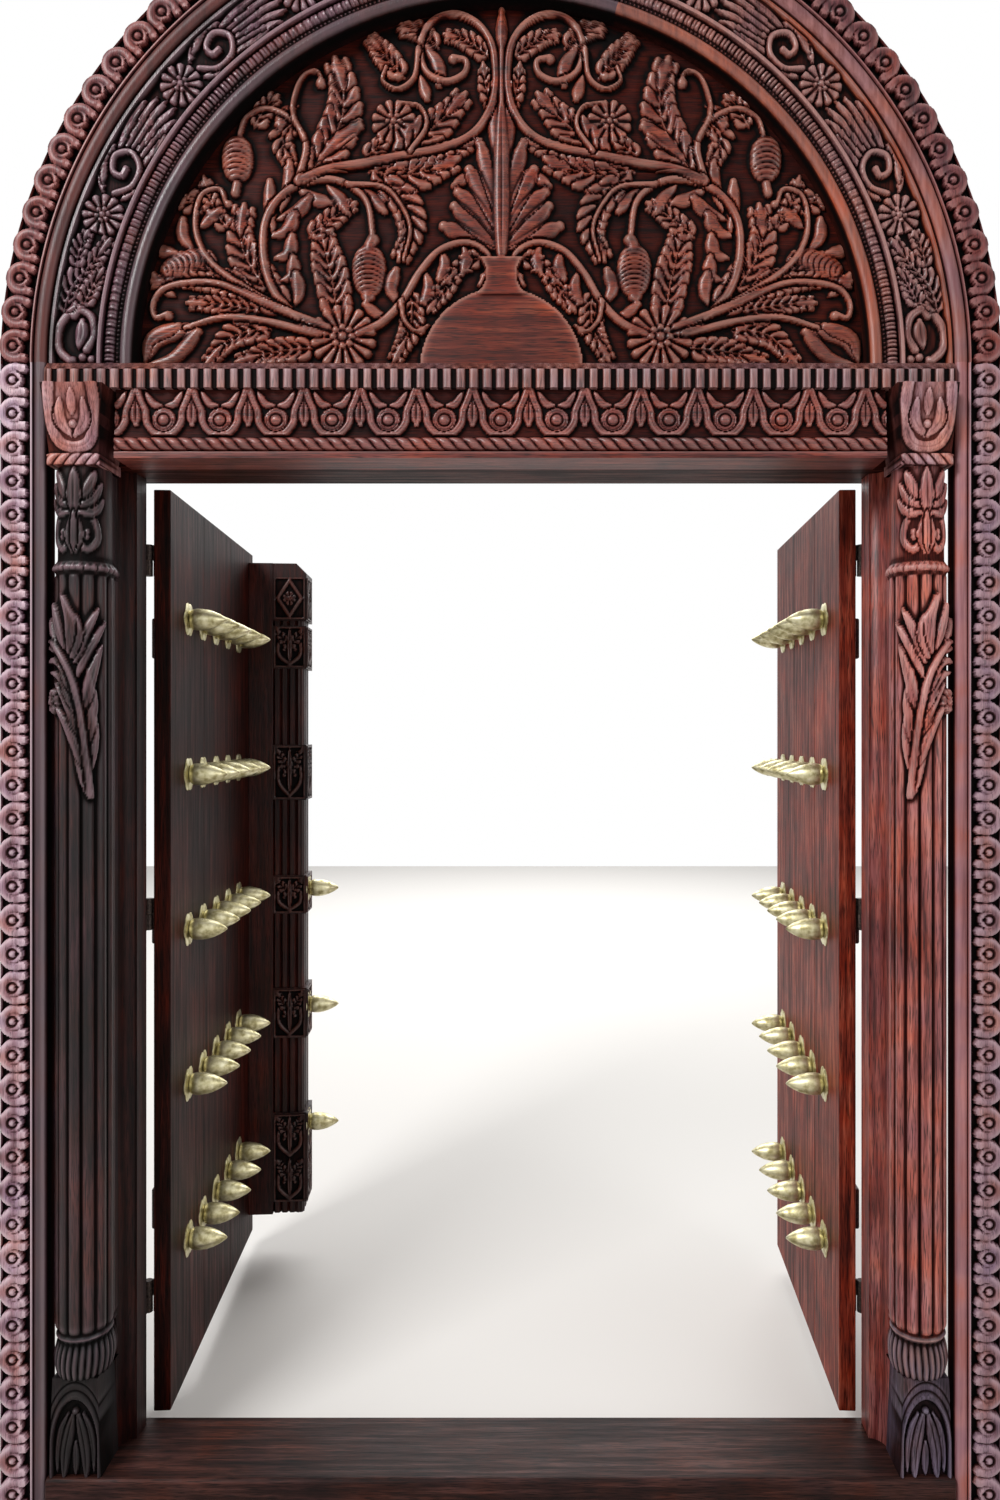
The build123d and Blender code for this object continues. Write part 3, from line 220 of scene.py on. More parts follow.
class Carving:
    """Heights in millimetres over a sunk ground, at places a and b across the work."""

    def __init__(self, a, b):
        self.a = a
        self.b = b
        self.high = np.zeros_like(a)

    def stroke(self, line, half_width, rise, leaf=False, tilt=0.0, crease=0.0, parting=0.0, swell=0.85):
        """A rounded stem or a leaf along a line, which tilts up to its end. A crease cuts its middle,
        and a parting cuts what lies under its edge. A small swell is a leaf widest near its start."""
        line = np.asarray(line, float)
        reach = half_width * 1.1 + 3
        near = (
            (self.a > line[:, 0].min() - reach)
            & (self.a < line[:, 0].max() + reach)
            & (self.b > line[:, 1].min() - reach)
            & (self.b < line[:, 1].max() + reach)
        )
        if not near.any():
            return
        a, b = self.a[near], self.b[near]
        runs = np.diff(line, axis=0)
        lengths = np.hypot(runs[:, 0], runs[:, 1])
        starts = np.concatenate([[0.0], np.cumsum(lengths)])
        away = np.full(a.shape, 1e9)
        along = np.zeros(a.shape)
        for (ax, az), (rx, rz), length, start in zip(line, runs, lengths, starts):
            t = np.clip(((a - ax) * rx + (b - az) * rz) / length**2, 0, 1)
            distance = np.hypot(a - ax - t * rx, b - az - t * rz)
            along = np.where(distance < away, (start + t * length) / starts[-1], along)
            away = np.minimum(away, distance)
        if leaf:
            half = half_width * np.clip(np.sin(np.pi * np.clip(along, 0.03, 0.985) ** swell), 0.02, 1) ** 0.5
        else:
            half = half_width * (1 - 0.4 * along * (tilt != 0))
        round_over = domed(away, half)
        high = (rise + tilt * along) * round_over
        if crease:
            high = high - crease * np.exp(-((away / (0.16 * half_width)) ** 2))
        under = self.high[near]
        if parting:
            beside = (away > half - 0.5) & (away < half + 2.6)
            under = np.where(beside, np.maximum(under - parting, 0), under)
        self.high[near] = np.maximum(under, np.where(round_over > 0, high, 0))

    def feather(self, rib, reach, rise, fat=None):
        """A leaf of plump lobes that lean forward off both sides of its rib, and one at its tip."""
        line = follow(rib, 8)
        fat = fat or min(14.5, max(8.5, 0.28 * reach))
        runs = np.hypot(*np.diff(line, axis=0).T)
        shares = np.concatenate([[0.0], np.cumsum(runs)]) / runs.sum()
        pairs = max(2, round(runs.sum() / (2.1 * fat)))
        lobe_form = {"leaf": True, "parting": 3.0}
        self.stroke(line, 0.5 * reach, 5.0, leaf=True)
        for pair in range(pairs - 1, -1, -1):
            share = (pair + 0.15) / (pairs + 0.5)
            root, ahead = (
                np.array([np.interp(min(part, 1), shares, line[:, axis]) for axis in (0, 1)])
                for part in (share, share + 0.06)
            )
            heading = math.atan2(*(ahead - root)[::-1])
            size = 1.25 * reach * (0.75 + 0.25 * math.sin(math.pi * min(1, share * 1.5))) * (1 - 0.3 * share)
            for side in (-1, 1):
                out = heading + side * (1.05 - 0.35 * share)
                turn = heading + side * 0.4
                elbow = root + 0.5 * size * np.array([math.cos(out), math.sin(out)])
                tip = elbow + 0.5 * size * np.array([math.cos(turn), math.sin(turn)])
                self.stroke(follow([tip, elbow, root], 3), fat, rise, tilt=-4.0, swell=0.62, **lobe_form)
        self.stroke(line[int(0.7 * len(line)) :][::-1], fat, rise, tilt=-2.0, swell=0.7, **lobe_form)
        self.stroke(line, 2.6, rise - 3.0, tilt=-1.0)

    def ball(self, a, b, radius, rise, base=0.0):
        """A round button."""
        away = np.hypot(self.a - a, self.b - b) / radius
        self.high = np.maximum(self.high, np.where(away < 1, base + rise * domed(away), 0))

    def rosette(self, a, b, radius, petals, rise):
        """A flower of round petals about a heart of beads."""
        away = np.hypot(self.a - a, self.b - b) / radius
        turn = np.arctan2(self.b - b, self.a - a) * petals / (2 * math.pi)
        across = 2 * np.abs(turn - np.floor(turn) - 0.5)
        tip = 1 - 0.16 * across**3
        petal = domed(across, 0.94) * np.sqrt(np.clip((tip - away) * 12, 0, 1))
        high = (rise - 3.0 + 3.0 * away) * petal - 1.4 * np.exp(-((across / 0.12) ** 2))
        self.high = np.maximum(self.high, np.where((away < tip) & (away > 0.3), high, 0))
        self.ball(a, b, radius * 0.42, rise - 1.0)
        beads = max(6, petals // 2)
        for bead in range(beads):
            angle = 2 * math.pi * bead / beads
            out_a, out_b = 0.27 * radius * math.cos(angle), 0.27 * radius * math.sin(angle)
            self.ball(a + out_a, b + out_b, radius * 0.1, 3.5, base=rise - 1.5)
        self.ball(a, b, radius * 0.13, 4.0, base=rise - 0.5)

    def pod(self, a, b, half_width, half_height, rise, ribs, turn=0.0):
        """A seed pod with ribs round it, upright or turned, in degrees."""
        lean = math.radians(turn)
        across = ((self.a - a) * math.cos(lean) + (self.b - b) * math.sin(lean)) / half_width
        up = ((self.b - b) * math.cos(lean) - (self.a - a) * math.sin(lean)) / half_height
        away = across**2 + np.abs(up) ** 2.4
        ribbed = 0.72 + 0.28 * np.abs(np.sin(math.pi * ribs * (up + 0.3 * across**2) / 2)) ** 0.6
        dome = rise * np.sqrt(np.clip(1 - away, 0, 1)) ** 0.7 * ribbed
        self.high = np.maximum(self.high, np.where(away < 1, dome, 0))


def softened(field):
    """A height field with its small forms smoothed away."""
    for _ in range(9):
        wide = np.pad(field, 1, mode="edge")
        field = (wide[:-2, 1:-1] + wide[2:, 1:-1] + wide[1:-1, :-2] + wide[1:-1, 2:] + field) / 5
    return field


def carved_mesh(name, columns, rows, shape, back, ground_shade=0.12):
    """A closed piece with a carved face. shape turns two shares, across and up the face, into x, y
    and z and the height of the carving, in millimetres, and may add where its mouldings lie, which
    take their own painted light and shade. back is the y of the piece's flat back."""
    # A ridge that stands so many millimetres over what is round it is rubbed bare, and a hollow as deep is
    # painted fully dark as shade
    rubbed_rise = 3.2
    maker = bmesh.new()
    bmesh.ops.create_grid(maker, x_segments=columns, y_segments=rows, size=0.5)
    rim = [edge for edge in maker.edges if edge.is_boundary]
    walls = bmesh.ops.extrude_edge_only(maker, edges=rim)["geom"]
    hind = [part for part in walls if isinstance(part, bmesh.types.BMVert)]
    bmesh.ops.translate(maker, verts=hind, vec=(0, 0, -1))
    bmesh.ops.contextual_create(maker, geom=[edge for edge in maker.edges if edge.is_boundary])
    bmesh.ops.recalc_face_normals(maker, faces=maker.faces)
    mesh = bpy.data.meshes.new(name)
    maker.to_mesh(mesh)
    maker.free()
    places = np.empty(3 * len(mesh.vertices), np.float32)
    mesh.vertices.foreach_get("co", places)
    u, v, w = places.reshape(-1, 3).T.astype(float)
    u = np.clip(u + 0.5, 0, 1)
    v = np.clip(v + 0.5, 0, 1)
    x, y, z, high, *fresh = shape(u, v)
    front = w > -0.5
    field = np.zeros((rows + 1, columns + 1))
    row = np.rint(v * rows).astype(int)
    column = np.rint(u * columns).astype(int)
    field[row[front], column[front]] = high[front]
    stand_out = (field - softened(field))[row, column]
    sunk = (field < 1)[row, column]
    # Ridges stand out pale as wear, and hollows and the sunk ground are darkened as painted shade
    wear = np.clip(0.5 + stand_out / (2 * rubbed_rise) - ground_shade * sunk, 0, 1)
    wear[~front] = 0.5
    y = np.where(front, y, back)
    mesh.vertices.foreach_set("co", (np.stack([x, y, z], 1) / 1000).astype(np.float32).ravel())
    finishes = {"wear": wear, "fresh": fresh[0] * front} if fresh else {"wear": wear}
    for finish, value in finishes.items():
        finish_data = mesh.attributes.new(finish, "FLOAT", "POINT").data
        finish_data.foreach_set("value", value.astype(np.float32))
    mesh.polygons.foreach_set("use_smooth", np.ones(len(mesh.polygons), bool))
    mesh.set_sharp_from_angle(angle=math.radians(50))
    mesh.update()
    return mesh


# Carved and oiled hardwood: red-brown faces, ridges rubbed to a dusty rose, and near black hollows that are
# painted shade.
frieze_wood = hardwood(
    "carved_red_hardwood_head", ("#421714", "#7a3830", "#a86258"), "X", gloss=0.3, carved="#b98a84"
)
carving_back_y = -16.0
frieze_pitch = 110.0
frieze_low, frieze_high = (corner * 1000 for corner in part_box("frieze_board"))
frieze_ground_y = -94.0
frieze_lip_y = -106.0
rope_base = frieze_low.z + 14
rope_top = rope_base + 29


def frieze_shape(u, v):
    x = frieze_low.x + u * (frieze_high.x - frieze_low.x)
    z = frieze_low.z + v * (frieze_high.z - frieze_low.z)
    over = z - rope_top
    disc = (x + frieze_pitch / 2) % frieze_pitch - frieze_pitch / 2
    lotus = x % frieze_pitch - frieze_pitch / 2
    work = Carving(disc, over)
    # Arms rise round each disc and meet their neighbours in a point, over a leaf
    half_arm = [(53, 94), (46, 74), (37, 52), (33, 28), (18, 9)]
    arm = [(-a, b) for a, b in half_arm] + [(0, 5)] + half_arm[::-1]
    work.stroke(follow(arm), 8, 10, crease=2)
    for turn in (-1, 1):
        arm_leaf = follow([(turn * 5, 62), (turn * 22, 66), (turn * 36, 88)], 4)
        work.stroke(arm_leaf, 8, 8, leaf=True, crease=1.5, parting=4)
    away = np.hypot(disc, over - 33)
    plate = 8.5 + 1.5 * np.cos(np.clip(away / 21, 0, 1) * math.pi)
    plate = plate - 4.5 * np.exp(-(((away - 12) / 2.0) ** 2)) - 2 * np.exp(-(((away - 18) / 1.5) ** 2))
    work.high = np.where(away < 24, np.where(away < 22, plate, 2), work.high)
    work.ball(0, 33, 8.5, 5, base=6)
    petals = Carving(lotus, over)
    petals.stroke([(0, 26), (0, 50), (0, 80)], 15, 8.5, leaf=True, crease=3.0)
    petals.stroke([(0, 84), (0, 90), (0, 95)], 6, 8.5)
    # The horseshoes overlap the lotuses behind them
    high = np.where(work.high > 0.5, np.maximum(work.high, 4), np.minimum(petals.high, 9))
    high = np.where(over < 2, 0, high)
    y = np.where(z < rope_base, frieze_lip_y, frieze_ground_y - high)
    return x, y, z, np.where(z < rope_base, 6.0, high)


frieze_mesh = carved_mesh("carved_frieze", 600, 55, frieze_shape, carving_back_y)
settle(frieze_mesh, frieze_wood, "frame", "carved_wood", "frieze_board")

# Rope moulding: a half-round strip carved as a twisted rope and nailed along the frieze's foot.
rope_low, rope_high = (corner * 1000 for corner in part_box("rope_moulding"))
strand_pitch = 26.5


def rope_shape(u, v):
    x = rope_low.x + u * (rope_high.x - rope_low.x)
    z = rope_low.z + v * (rope_high.z - rope_low.z)
    bulge = np.sqrt(np.clip(1 - (2 * v - 1) ** 2, 0.02, 1))
    strand = np.abs(np.cos(math.pi * (x / strand_pitch + 0.75 * (v - 0.5) + 0.25 * (2 * v - 1) ** 3)))
    high = bulge * (8 + 8 * strand**0.55)
    return x, rope_high.y - high, z, high


rope_mesh = carved_mesh("carved_rope", 620, 12, rope_shape, rope_high.y)
settle(rope_mesh, frieze_wood, "frame", "carved_wood", "rope_moulding")

# Reeded rail: a square rail over the frieze, its face cut into upright reeds, its top sloped to
# shed dust. The tympanum and the arch stand on it.
rail_low, rail_high = (corner * 1000 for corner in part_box("reeded_rail"))
rail_wood = hardwood(
    "reeded_red_hardwood", ("#4a2426", "#86544f", "#b08784"), "Z", gloss=0.34, carved="#d8b8ba"
)
rail_ground_y = -103.0
rail_slope = 16.0
reed_pitch = 26.0
reed_half_width = 8.4
reeded_half_run = 884.0


def rail_shape(u, v):
    x = rail_low.x + u * (rail_high.x - rail_low.x)
    face = np.clip(v / 0.66, 0, 1)
    slope = np.clip((v - 0.7) / 0.3, 0, 1)
    z = rail_low.z + face * (rail_high.z - rail_slope - rail_low.z) + slope * rail_slope
    reed = ((x + reed_pitch / 2) % reed_pitch - reed_pitch / 2) / reed_half_width
    high = np.where(np.abs(reed) < 1, 3 + 4 * domed(reed), 0)
    high = np.where((v > 0.69) | (np.abs(x) > reeded_half_run), 3.0, high)
    return x, rail_ground_y - high + slope * 14, z, high


rail_mesh = carved_mesh("reeded_rail_carved", 690, 14, rail_shape, carving_back_y)
settle(rail_mesh, rail_wood, "frame", "carved_wood", "reeded_rail")

# Tympanum: three boards edge to edge behind the arch, carved with leafy scrolls that rise from two
# rosettes beside an urn. This carving is the finest work on the door. The lines are drawn for the
# right half, in millimetres from the arch's centre, and mirrored.
springing = rail_high.z
tympanum_radius = 728.0
board_ground_y = -44.0
board_back_y = -20.0
tympanum_wood = hardwood(
    "carved_red_hardwood_tympanum", ("#3c130c", "#763022", "#a4553e"), "X", gloss=0.28, carved="#b47f70"
)
# Half width of each stem at its root, and the line that it follows
scroll_stems = (
    (10, ((358, 72), (408, 102), (458, 162), (478, 233), (472, 303), (438, 353), (388, 379),
      (338, 383), (298, 367), (268, 333), (258, 263))),
    (8, ((408, 106), (509, 162), (579, 213), (609, 263), (613, 313), (599, 353), (565, 363),
      (553, 337))),
    (9, ((348, 86), (468, 132), (559, 172), (629, 176), (679, 162), (699, 132), (693, 106),
      (669, 114))),
    (9, ((368, 72), (468, 98), (559, 106), (633, 86))),
    (8, ((408, 379), (392, 444), (404, 484), (438, 514), (478, 524), (513, 504), (525, 474))),
    (6, ((396, 464), (418, 514), (414, 554), (398, 588), (372, 600), (358, 580))),
    (10, ((408, 379), (348, 403), (268, 417), (187, 433), (127, 444), (67, 468), (31, 508), (13, 564),
      (17, 644), (47, 694), (97, 715), (143, 696), (163, 648), (151, 600), (113, 580), (77, 594),
      (71, 620), (97, 628))),
    (6, ((183, 439), (151, 488), (163, 528), (203, 536))),
    (6, ((167, 644), (175, 588), (207, 564), (238, 580), (231, 608))),
    (9, ((288, 72), (238, 98), (197, 142), (167, 193), (127, 239), (77, 257), (37, 243), (23, 215),
      (43, 172))),
    (6, ((201, 138), (195, 102), (171, 78), (147, 90))),
    (6, ((308, 373), (238, 367), (203, 333), (183, 283), (197, 219))),
)
# Length of the leaflets, and the rib that they stand on
feathered_leaves = (
    (48, ((382, 395), (346, 447), (320, 507), (318, 566), (335, 626))),
    (42, ((206, 418), (163, 464), (116, 507), (72, 556))),
    (26, ((163, 423), (104, 439), (41, 464))),
    (42, ((261, 401), (206, 389), (146, 401), (88, 423))),
    (38, ((240, 379), (197, 337), (182, 282), (206, 220))),
    (42, ((329, 109), (337, 167), (352, 235), (363, 305))),
    (44, ((439, 120), (495, 197), (523, 259), (516, 332))),
    (32, ((380, 44), (452, 38), (533, 16))),
    (32, ((465, 84), (537, 69), (592, 12))),
    (26, ((486, 118), (558, 131), (631, 136))),
    (24, ((503, 157), (609, 180), (709, 177))),
    (28, ((408, 502), (439, 469), (420, 401))),
    (30, ((182, 158), (182, 90), (216, 17))),
    (24, ((91, 201), (119, 158), (148, 118))),
    (22, ((22, 233), (70, 216), (119, 174))),
    (30, ((199, 590), (229, 626), (265, 668))),
    (26, ((129, 649), (163, 677), (207, 683))),
    (24, ((27, 630), (70, 661), (116, 673))),
    (18, ((17, 522), (31, 568), (37, 616))),
    (30, ((575, 371), (614, 337), (654, 345))),
    (22, ((550, 286), (575, 320), (597, 388))),
    (26, ((495, 490), (469, 532), (448, 551))),
    (24, ((274, 429), (248, 447), (240, 464))),
    (26, ((384, 269), (325, 316), (291, 337))),
)
# Half width of each single leaflet, and its line
single_leaflets = (
    (11, ((456, 269), (465, 320), (465, 379))),
    (11, ((444, 320), (428, 371), (425, 415))),
    (12, ((410, 367), (376, 345), (342, 337))),
    (12, ((350, 371), (325, 345), (312, 320))),
    (12, ((450, 303), (410, 320), (386, 345))),
    (12, ((461, 269), (431, 282), (414, 311))),
    (12, ((456, 226), (428, 235), (420, 269))),
    (12, ((442, 180), (420, 192), (418, 225))),
    (12, ((414, 133), (408, 158), (411, 192))),
    (11, ((286, 371), (257, 345), (235, 320))),
    (11, ((614, 235), (639, 269), (639, 303))),
    (11, ((592, 201), (622, 218), (652, 235))),
    (11, ((554, 184), (580, 209), (588, 235))),
    (11, ((605, 286), (588, 303), (567, 320))),
    (11, ((656, 150), (682, 167), (699, 192))),
    (12, ((495, 158), (520, 175), (567, 201))),
    (12, ((206, 133), (223, 167), (212, 201))),
    (11, ((155, 201), (146, 167), (155, 136))),
    (11, ((121, 243), (114, 209), (125, 184))),
    (10, ((78, 252), (70, 226), (77, 201))),
    (10, ((206, 116), (240, 107), (274, 133))),
    (12, ((155, 651), (129, 617), (125, 575))),
    (10, ((163, 592), (155, 566), (150, 545))),
    (10, ((27, 405), (70, 388), (95, 371))),
    (15, ((5, 243), (36, 256), (116, 290))),
    (15, ((5, 248), (44, 282), (94, 330))),
    (15, ((3, 256), (32, 311), (87, 358))),
    (15, ((2, 269), (27, 337), (65, 403))),
    (15, ((1, 294), (17, 371), (42, 452))),
    (14, ((0, 362), (5, 439), (17, 532))),
    (13, ((410, 532), (435, 515), (444, 490))),
    (12, ((367, 422), (325, 464), (284, 490))),
    (11, ((469, 73), (495, 99), (537, 107))),
    (11, ((699, 269), (686, 243), (656, 235))),
    (14, ((716, 16), (686, 65), (614, 86))),
    (12, ((709, 12), (656, 27), (609, 78))),
    (12, ((717, 18), (703, 65), (648, 89))),
)
# Each bud's place and radius
scroll_buds = (
    (160, 81, 10),
    (362, 577, 12),
    (548, 333, 10),
    (669, 110, 11),
    (208, 590, 10),
    (97, 625, 11),
    (36, 188, 9),
)
urn_radius = 164.0


def tympanum_carving(x, z):
    work = Carving(np.abs(x), z)
    for length, rib in feathered_leaves:
        work.feather(rib, length * 1.05, 13.0)
    for half_width, line in single_leaflets:
        work.stroke(follow(line, 4)[::-1], half_width * 1.3, 13, leaf=True, tilt=-4, parting=3, swell=0.62)
    for half_width, line in scroll_stems:
        work.stroke(follow(line, 7), half_width * 1.1, 16, tilt=-2, crease=1.2, parting=5)
    # A bud ends each scroll, and a rosette stands over each side's root and in the upper scroll
    for a, b, radius in scroll_buds:
        work.ball(a, b, radius, 13)
    work.rosette(318, 66, 68, 16, 15)
    work.rosette(216, 498, 46, 12, 13)
    # Three ribbed pods hang from the scrolls, the first with a calyx and a tip
    work.stroke([(258, 262), (264, 250), (266, 232)], 14, 15)
    work.stroke([(266, 160), (268, 148), (270, 136)], 16, 13, leaf=True)
    work.pod(266, 200, 35, 54, 19, 11)
    work.stroke([(531, 374), (533, 364), (535, 356)], 10, 13)
    work.pod(530, 424, 32, 48, 18, 9)
    work.pod(636, 214, 26, 54, 16, 9, turn=68)
    # A tall stalk rises from the urn
    work.stroke([(0, 210), (0, 400), (0, 545)], 21, 17, leaf=True, crease=2.5)
    work.stroke([(0, 240), (0, 640), (0, 722)], 7, 14)
    work.stroke([(0, 640), (0, 690), (0, 724)], 13, 13, leaf=True)
    # The urn is a plain bowl with a crisp edge, a collar and a waisted neck
    bowl = np.hypot(x, z) / urn_radius
    plain = np.where(bowl < 1, 13 + 3 * domed(bowl), 0)
    neck = np.abs(x) < 30 + 17 * ((z - 190) / 36) ** 2
    plain = np.where(neck & (z > 150) & (z < 226), 17, plain)
    return np.maximum(work.high, plain)


for board in ("lower", "middle", "upper"):
    board_low, board_high = (corner * 1000 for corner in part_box("tympanum_board_" + board))
    foot = board_low.z - springing
    head = min(board_high.z - springing, tympanum_radius - 1.0)

    def tympanum_shape(u, v):
        z = foot + v * (head - foot)
        half = np.sqrt(np.clip(tympanum_radius**2 - z**2, 25, None))
        x = (2 * u - 1) * half
        high = tympanum_carving(x, z)
        # The carving dies into the ground just inside the arch's roll
        high = high * np.clip((tympanum_radius - np.hypot(x, z)) / 3, 0, 1)
        return x, board_ground_y - high, springing + z, high

    columns = 400 if board == "upper" else 470
    rows = int((head - foot) / 3.1)
    mesh = carved_mesh("carved_tympanum_" + board, columns, rows, tympanum_shape, board_back_y)
    settle(mesh, tympanum_wood, "frame", "carved_wood", "tympanum_board_" + board)

# Vine ring: five curved timbers inside the arch, with a half-round roll round the tympanum, a row
# of barrel beads, and a vine of leaves and rosettes between two fillets.
# The timbers on the right are a paler, warmer copy of the wood as painted light, their roll glowing orange,
# and the rest a darker copy as painted shade.
lit_ring, shaded_ring = (
    hardwood("carved_red_hardwood_" + kind, colours, "Z", gloss=0.31, carved=rubbed, fresh=moulding_light_and_shade)
    for kind, colours, rubbed, moulding_light_and_shade in (
        ("ring_painted_light", ("#44201e", "#7e4c48", "#aa756e"), "#b98d86", ("#5a2416", "#a8573c")),
        ("ring", ("#2c1519", "#59343b", "#83585f"), "#a4868e", ("#180b0e", "#452b31")),
    )
)
ring_wood = (lit_ring, lit_ring, shaded_ring, shaded_ring, shaded_ring)
timber_turn = math.radians(36)
ring_width = 161.0
ring_ground_y = -76.0
bead_pitch = 17.0
bead_radius = 770.0
vine_radius = 839.0
vine_half_width = 41.0
vine_unit = math.radians(20.6) * vine_radius
# Half width of each leaf of the vine's spray, and its line from the rosette below it
vine_leaves = (
    (8, ((44, 20), (70, 34), (98, 39))),
    (8, ((60, 26), (96, 37), (138, 37))),
    (9, ((120, -28), (170, -36), (216, -33))),
    (9, ((130, -18), (180, -20), (240, -35))),
    (10, ((136, -6), (190, -8), (258, -20))),
    (10, ((140, 6), (195, 6), (258, 2))),
    (9, ((134, 16), (190, 20), (254, 20))),
    (9, ((124, 26), (172, 33), (236, 35))),
    (8, ((44, -22), (66, -36), (92, -40))),
)
vine_curl = ((48, -4), (76, -30), (116, -27), (136, 2), (116, 27), (88, 18), (86, -2), (102, -4))


def ring_carving(along, across):
    """The vine: rosettes 302 mm apart, and from each a curl and a spray of leaves."""
    work = Carving(along, across)
    for repeat in range(5):
        start = repeat * vine_unit
        if repeat:
            work.rosette(start, 0, 43, 12, 13)
        for half_width, line in vine_leaves:
            leaf_line = follow([(start + a, b) for a, b in line], 4)
            work.stroke(leaf_line, half_width, 10, leaf=True, tilt=3, crease=2, parting=4)
        work.stroke(follow([(start + a, b) for a, b in vine_curl]), 6.5, 14, crease=1.5, parting=4)
        work.ball(start + 103, -3, 7, 13)
    return work.high


def foot_carving(along, across):
    """The big scroll leaf that starts the vine at the springing."""
    work = Carving(along, across)
    work.stroke(follow([(8, 12), (30, 34), (70, 36), (105, 14), (118, -8)]), 9, 14, crease=2)
    work.stroke(follow([(30, -20), (60, -34), (95, -26), (108, -4), (96, 10)]), 9, 13, crease=2)
    work.stroke(follow([(88, -8), (60, -10), (34, -4)]), 16, 12, leaf=True, crease=2)
    for a, b in ((12, -30), (16, -12), (10, 8), (18, 26)):
        work.ball(a, b, 9, 11)
    work.feather([(100, 30), (150, 22), (215, -12), (262, -30)], 32, 12, 8.0)
    work.feather([(118, -6), (160, -18), (200, -32)], 24, 11, 7.0)
    work.feather([(190, 22), (230, 24), (266, 16)], 22, 11, 7.0)
    return work.high


def ring_profile(radius, arc):
    """Height over the vine's ground, from inside out, of the roll, a row of small beads, the barrel
    beads and the fillets on both sides of the vine."""
    roll = domed(radius - 741.5, 13.5) * 14
    small = np.abs(np.cos(math.pi * arc / 9.0)) * np.clip(1 - np.abs(radius - 759) / 4, 0, 1) * 7
    bead = (arc % bead_pitch) / bead_pitch - 0.5
    waist = 1 - 0.35 * np.exp(-((bead / 0.08) ** 2))
    barrel = domed(radius - 774, 11.5) * 12 * np.sqrt(np.clip(1 - (2 * bead) ** 4, 0, 1)) * waist
    inner = np.clip((radius - 787) / 3, 0, 1) * np.clip((800 - radius) / 3, 0, 1) * 14
    outer = np.clip((radius - 879) / 3, 0, 1) * 14
    return np.maximum.reduce([roll, small, barrel, inner, outer])


for number in range(5):

    def ring_shape(u, v):
        turn = timber_turn * (number + v)
        radius = tympanum_radius + u * ring_width
        along = np.minimum(turn, math.pi - turn) * vine_radius
        across = radius - vine_radius
        vine = np.where(along < vine_unit - 36, foot_carving(along, across), ring_carving(along, across))
        vine = np.where(np.abs(across) < vine_half_width, vine, 0)
        high = np.maximum(ring_profile(radius, turn * bead_radius), vine)
        x, z = radius * np.cos(turn), springing + radius * np.sin(turn)
        return x, ring_ground_y - high, z, high, (radius < 756) | (radius > 878)

    mesh = carved_mesh("carved_vine_ring_%d" % (number + 1), 60, 170, ring_shape, board_back_y)
    settle(mesh, ring_wood[number], "frame", "carved_wood", "vine_ring_%d" % (number + 1))

# Architrave: a plain torus and a band of carved C-scrolls, each round a disc with a button, in
# five curved timbers over two uprights, fixed to the wall's face. Weather has greyed the uprights,
# and the left one is paler still as painted light.
arch_colours = ("#42191a", "#70393a", "#92544f")
arch_finish = {"pore": 0.6, "gloss": 0.38, "carved": "#a87370", "sheen": 0.22}
# The torus is pale as painted light on the two right timbers, and dark as painted shade on the rest
lit_arch, shaded_arch = (
    hardwood("weathered_red_hardwood_" + kind, arch_colours, "Z", fresh=torus_colours, **arch_finish)
    for kind, torus_colours in (("arch_painted_light", ("#6e3c38", "#a87370")), ("arch", ("#2c0e0c", "#5e2c28")))
)
arch_wood = (lit_arch, lit_arch, shaded_arch, shaded_arch, shaded_arch)
# The left upright's torus is dark as painted shade, and the right upright's torus is red and pale as painted
# light
upright_wood = {
    side: hardwood(
        "weathered_red_hardwood_" + kind, colours, "Z", pore=0.6, gloss=0.42, carved=rubbed, fresh=moulding_light_and_shade
    )
    for side, kind, colours, rubbed, moulding_light_and_shade in (
        ("left", "pale", ("#6e464e", "#a47a84", "#c9a6b0"), "#e6ccd4", ("#1e0d11", "#4a2c34")),
        ("right", "upright", ("#64404a", "#93707a", "#ad8a93"), "#c2a2ab", ("#7c4446", "#b87a7a")),
    )
}
architrave_inner = 891.0
architrave_width = 94.0
architrave_ground_y = -80.0
architrave_back_y = -60.0
torus_width = 29.0
curl_step = 4.0
curl_pitch = 66.35
curls_on_upright = 34


def architrave_height(across, along, pitch):
    """Height over the sunk ground, for a place across the profile and along the run."""
    torus = 6 + 14 * domed(across - 14, 14)
    lip = np.where((across > 27.5) & (across < 32.5), 17.0, 0)
    out = architrave_width - across
    step = (along % pitch) - pitch / 2
    # A C-scroll rounds each disc, and its two ends run out as tongues
    ring = np.hypot(out - 32, step)
    band = np.where(np.abs(ring - 25) < 8.5, 13 + 5 * domed(ring - 25, 8.5), 0)
    aside = np.abs(step) - 22.5
    on_tongue = (np.hypot(np.clip(out - 46, 0, None), aside) < 9) & (out < 59)
    tongue = 12 + 5 * domed(np.hypot(np.clip(out - 50, 0, None), aside), 9)
    band = np.where(out > 44, np.where(on_tongue, tongue, 0), band)
    away = np.hypot(out - 26, step)
    disc = 13 + 5 * domed(away, 20) - 5 * np.exp(-(((away - 9) / 2.6) ** 2))
    disc = np.where(away < 19, disc, 0)
    slit = (out > 26) & (out < 40) & (np.abs(step) < 1.6)
    disc = np.where(slit, disc - 3, disc)
    button = np.where(away < 5, 14 + 6 * domed(away, 5), 0)
    carved = np.maximum.reduce([band, disc, button])
    carved = np.where(out < 1.2, np.maximum(carved, 9), carved)
    return np.where(across < 27.5, torus, np.maximum(lip, np.where(across > 31, carved, 0)))


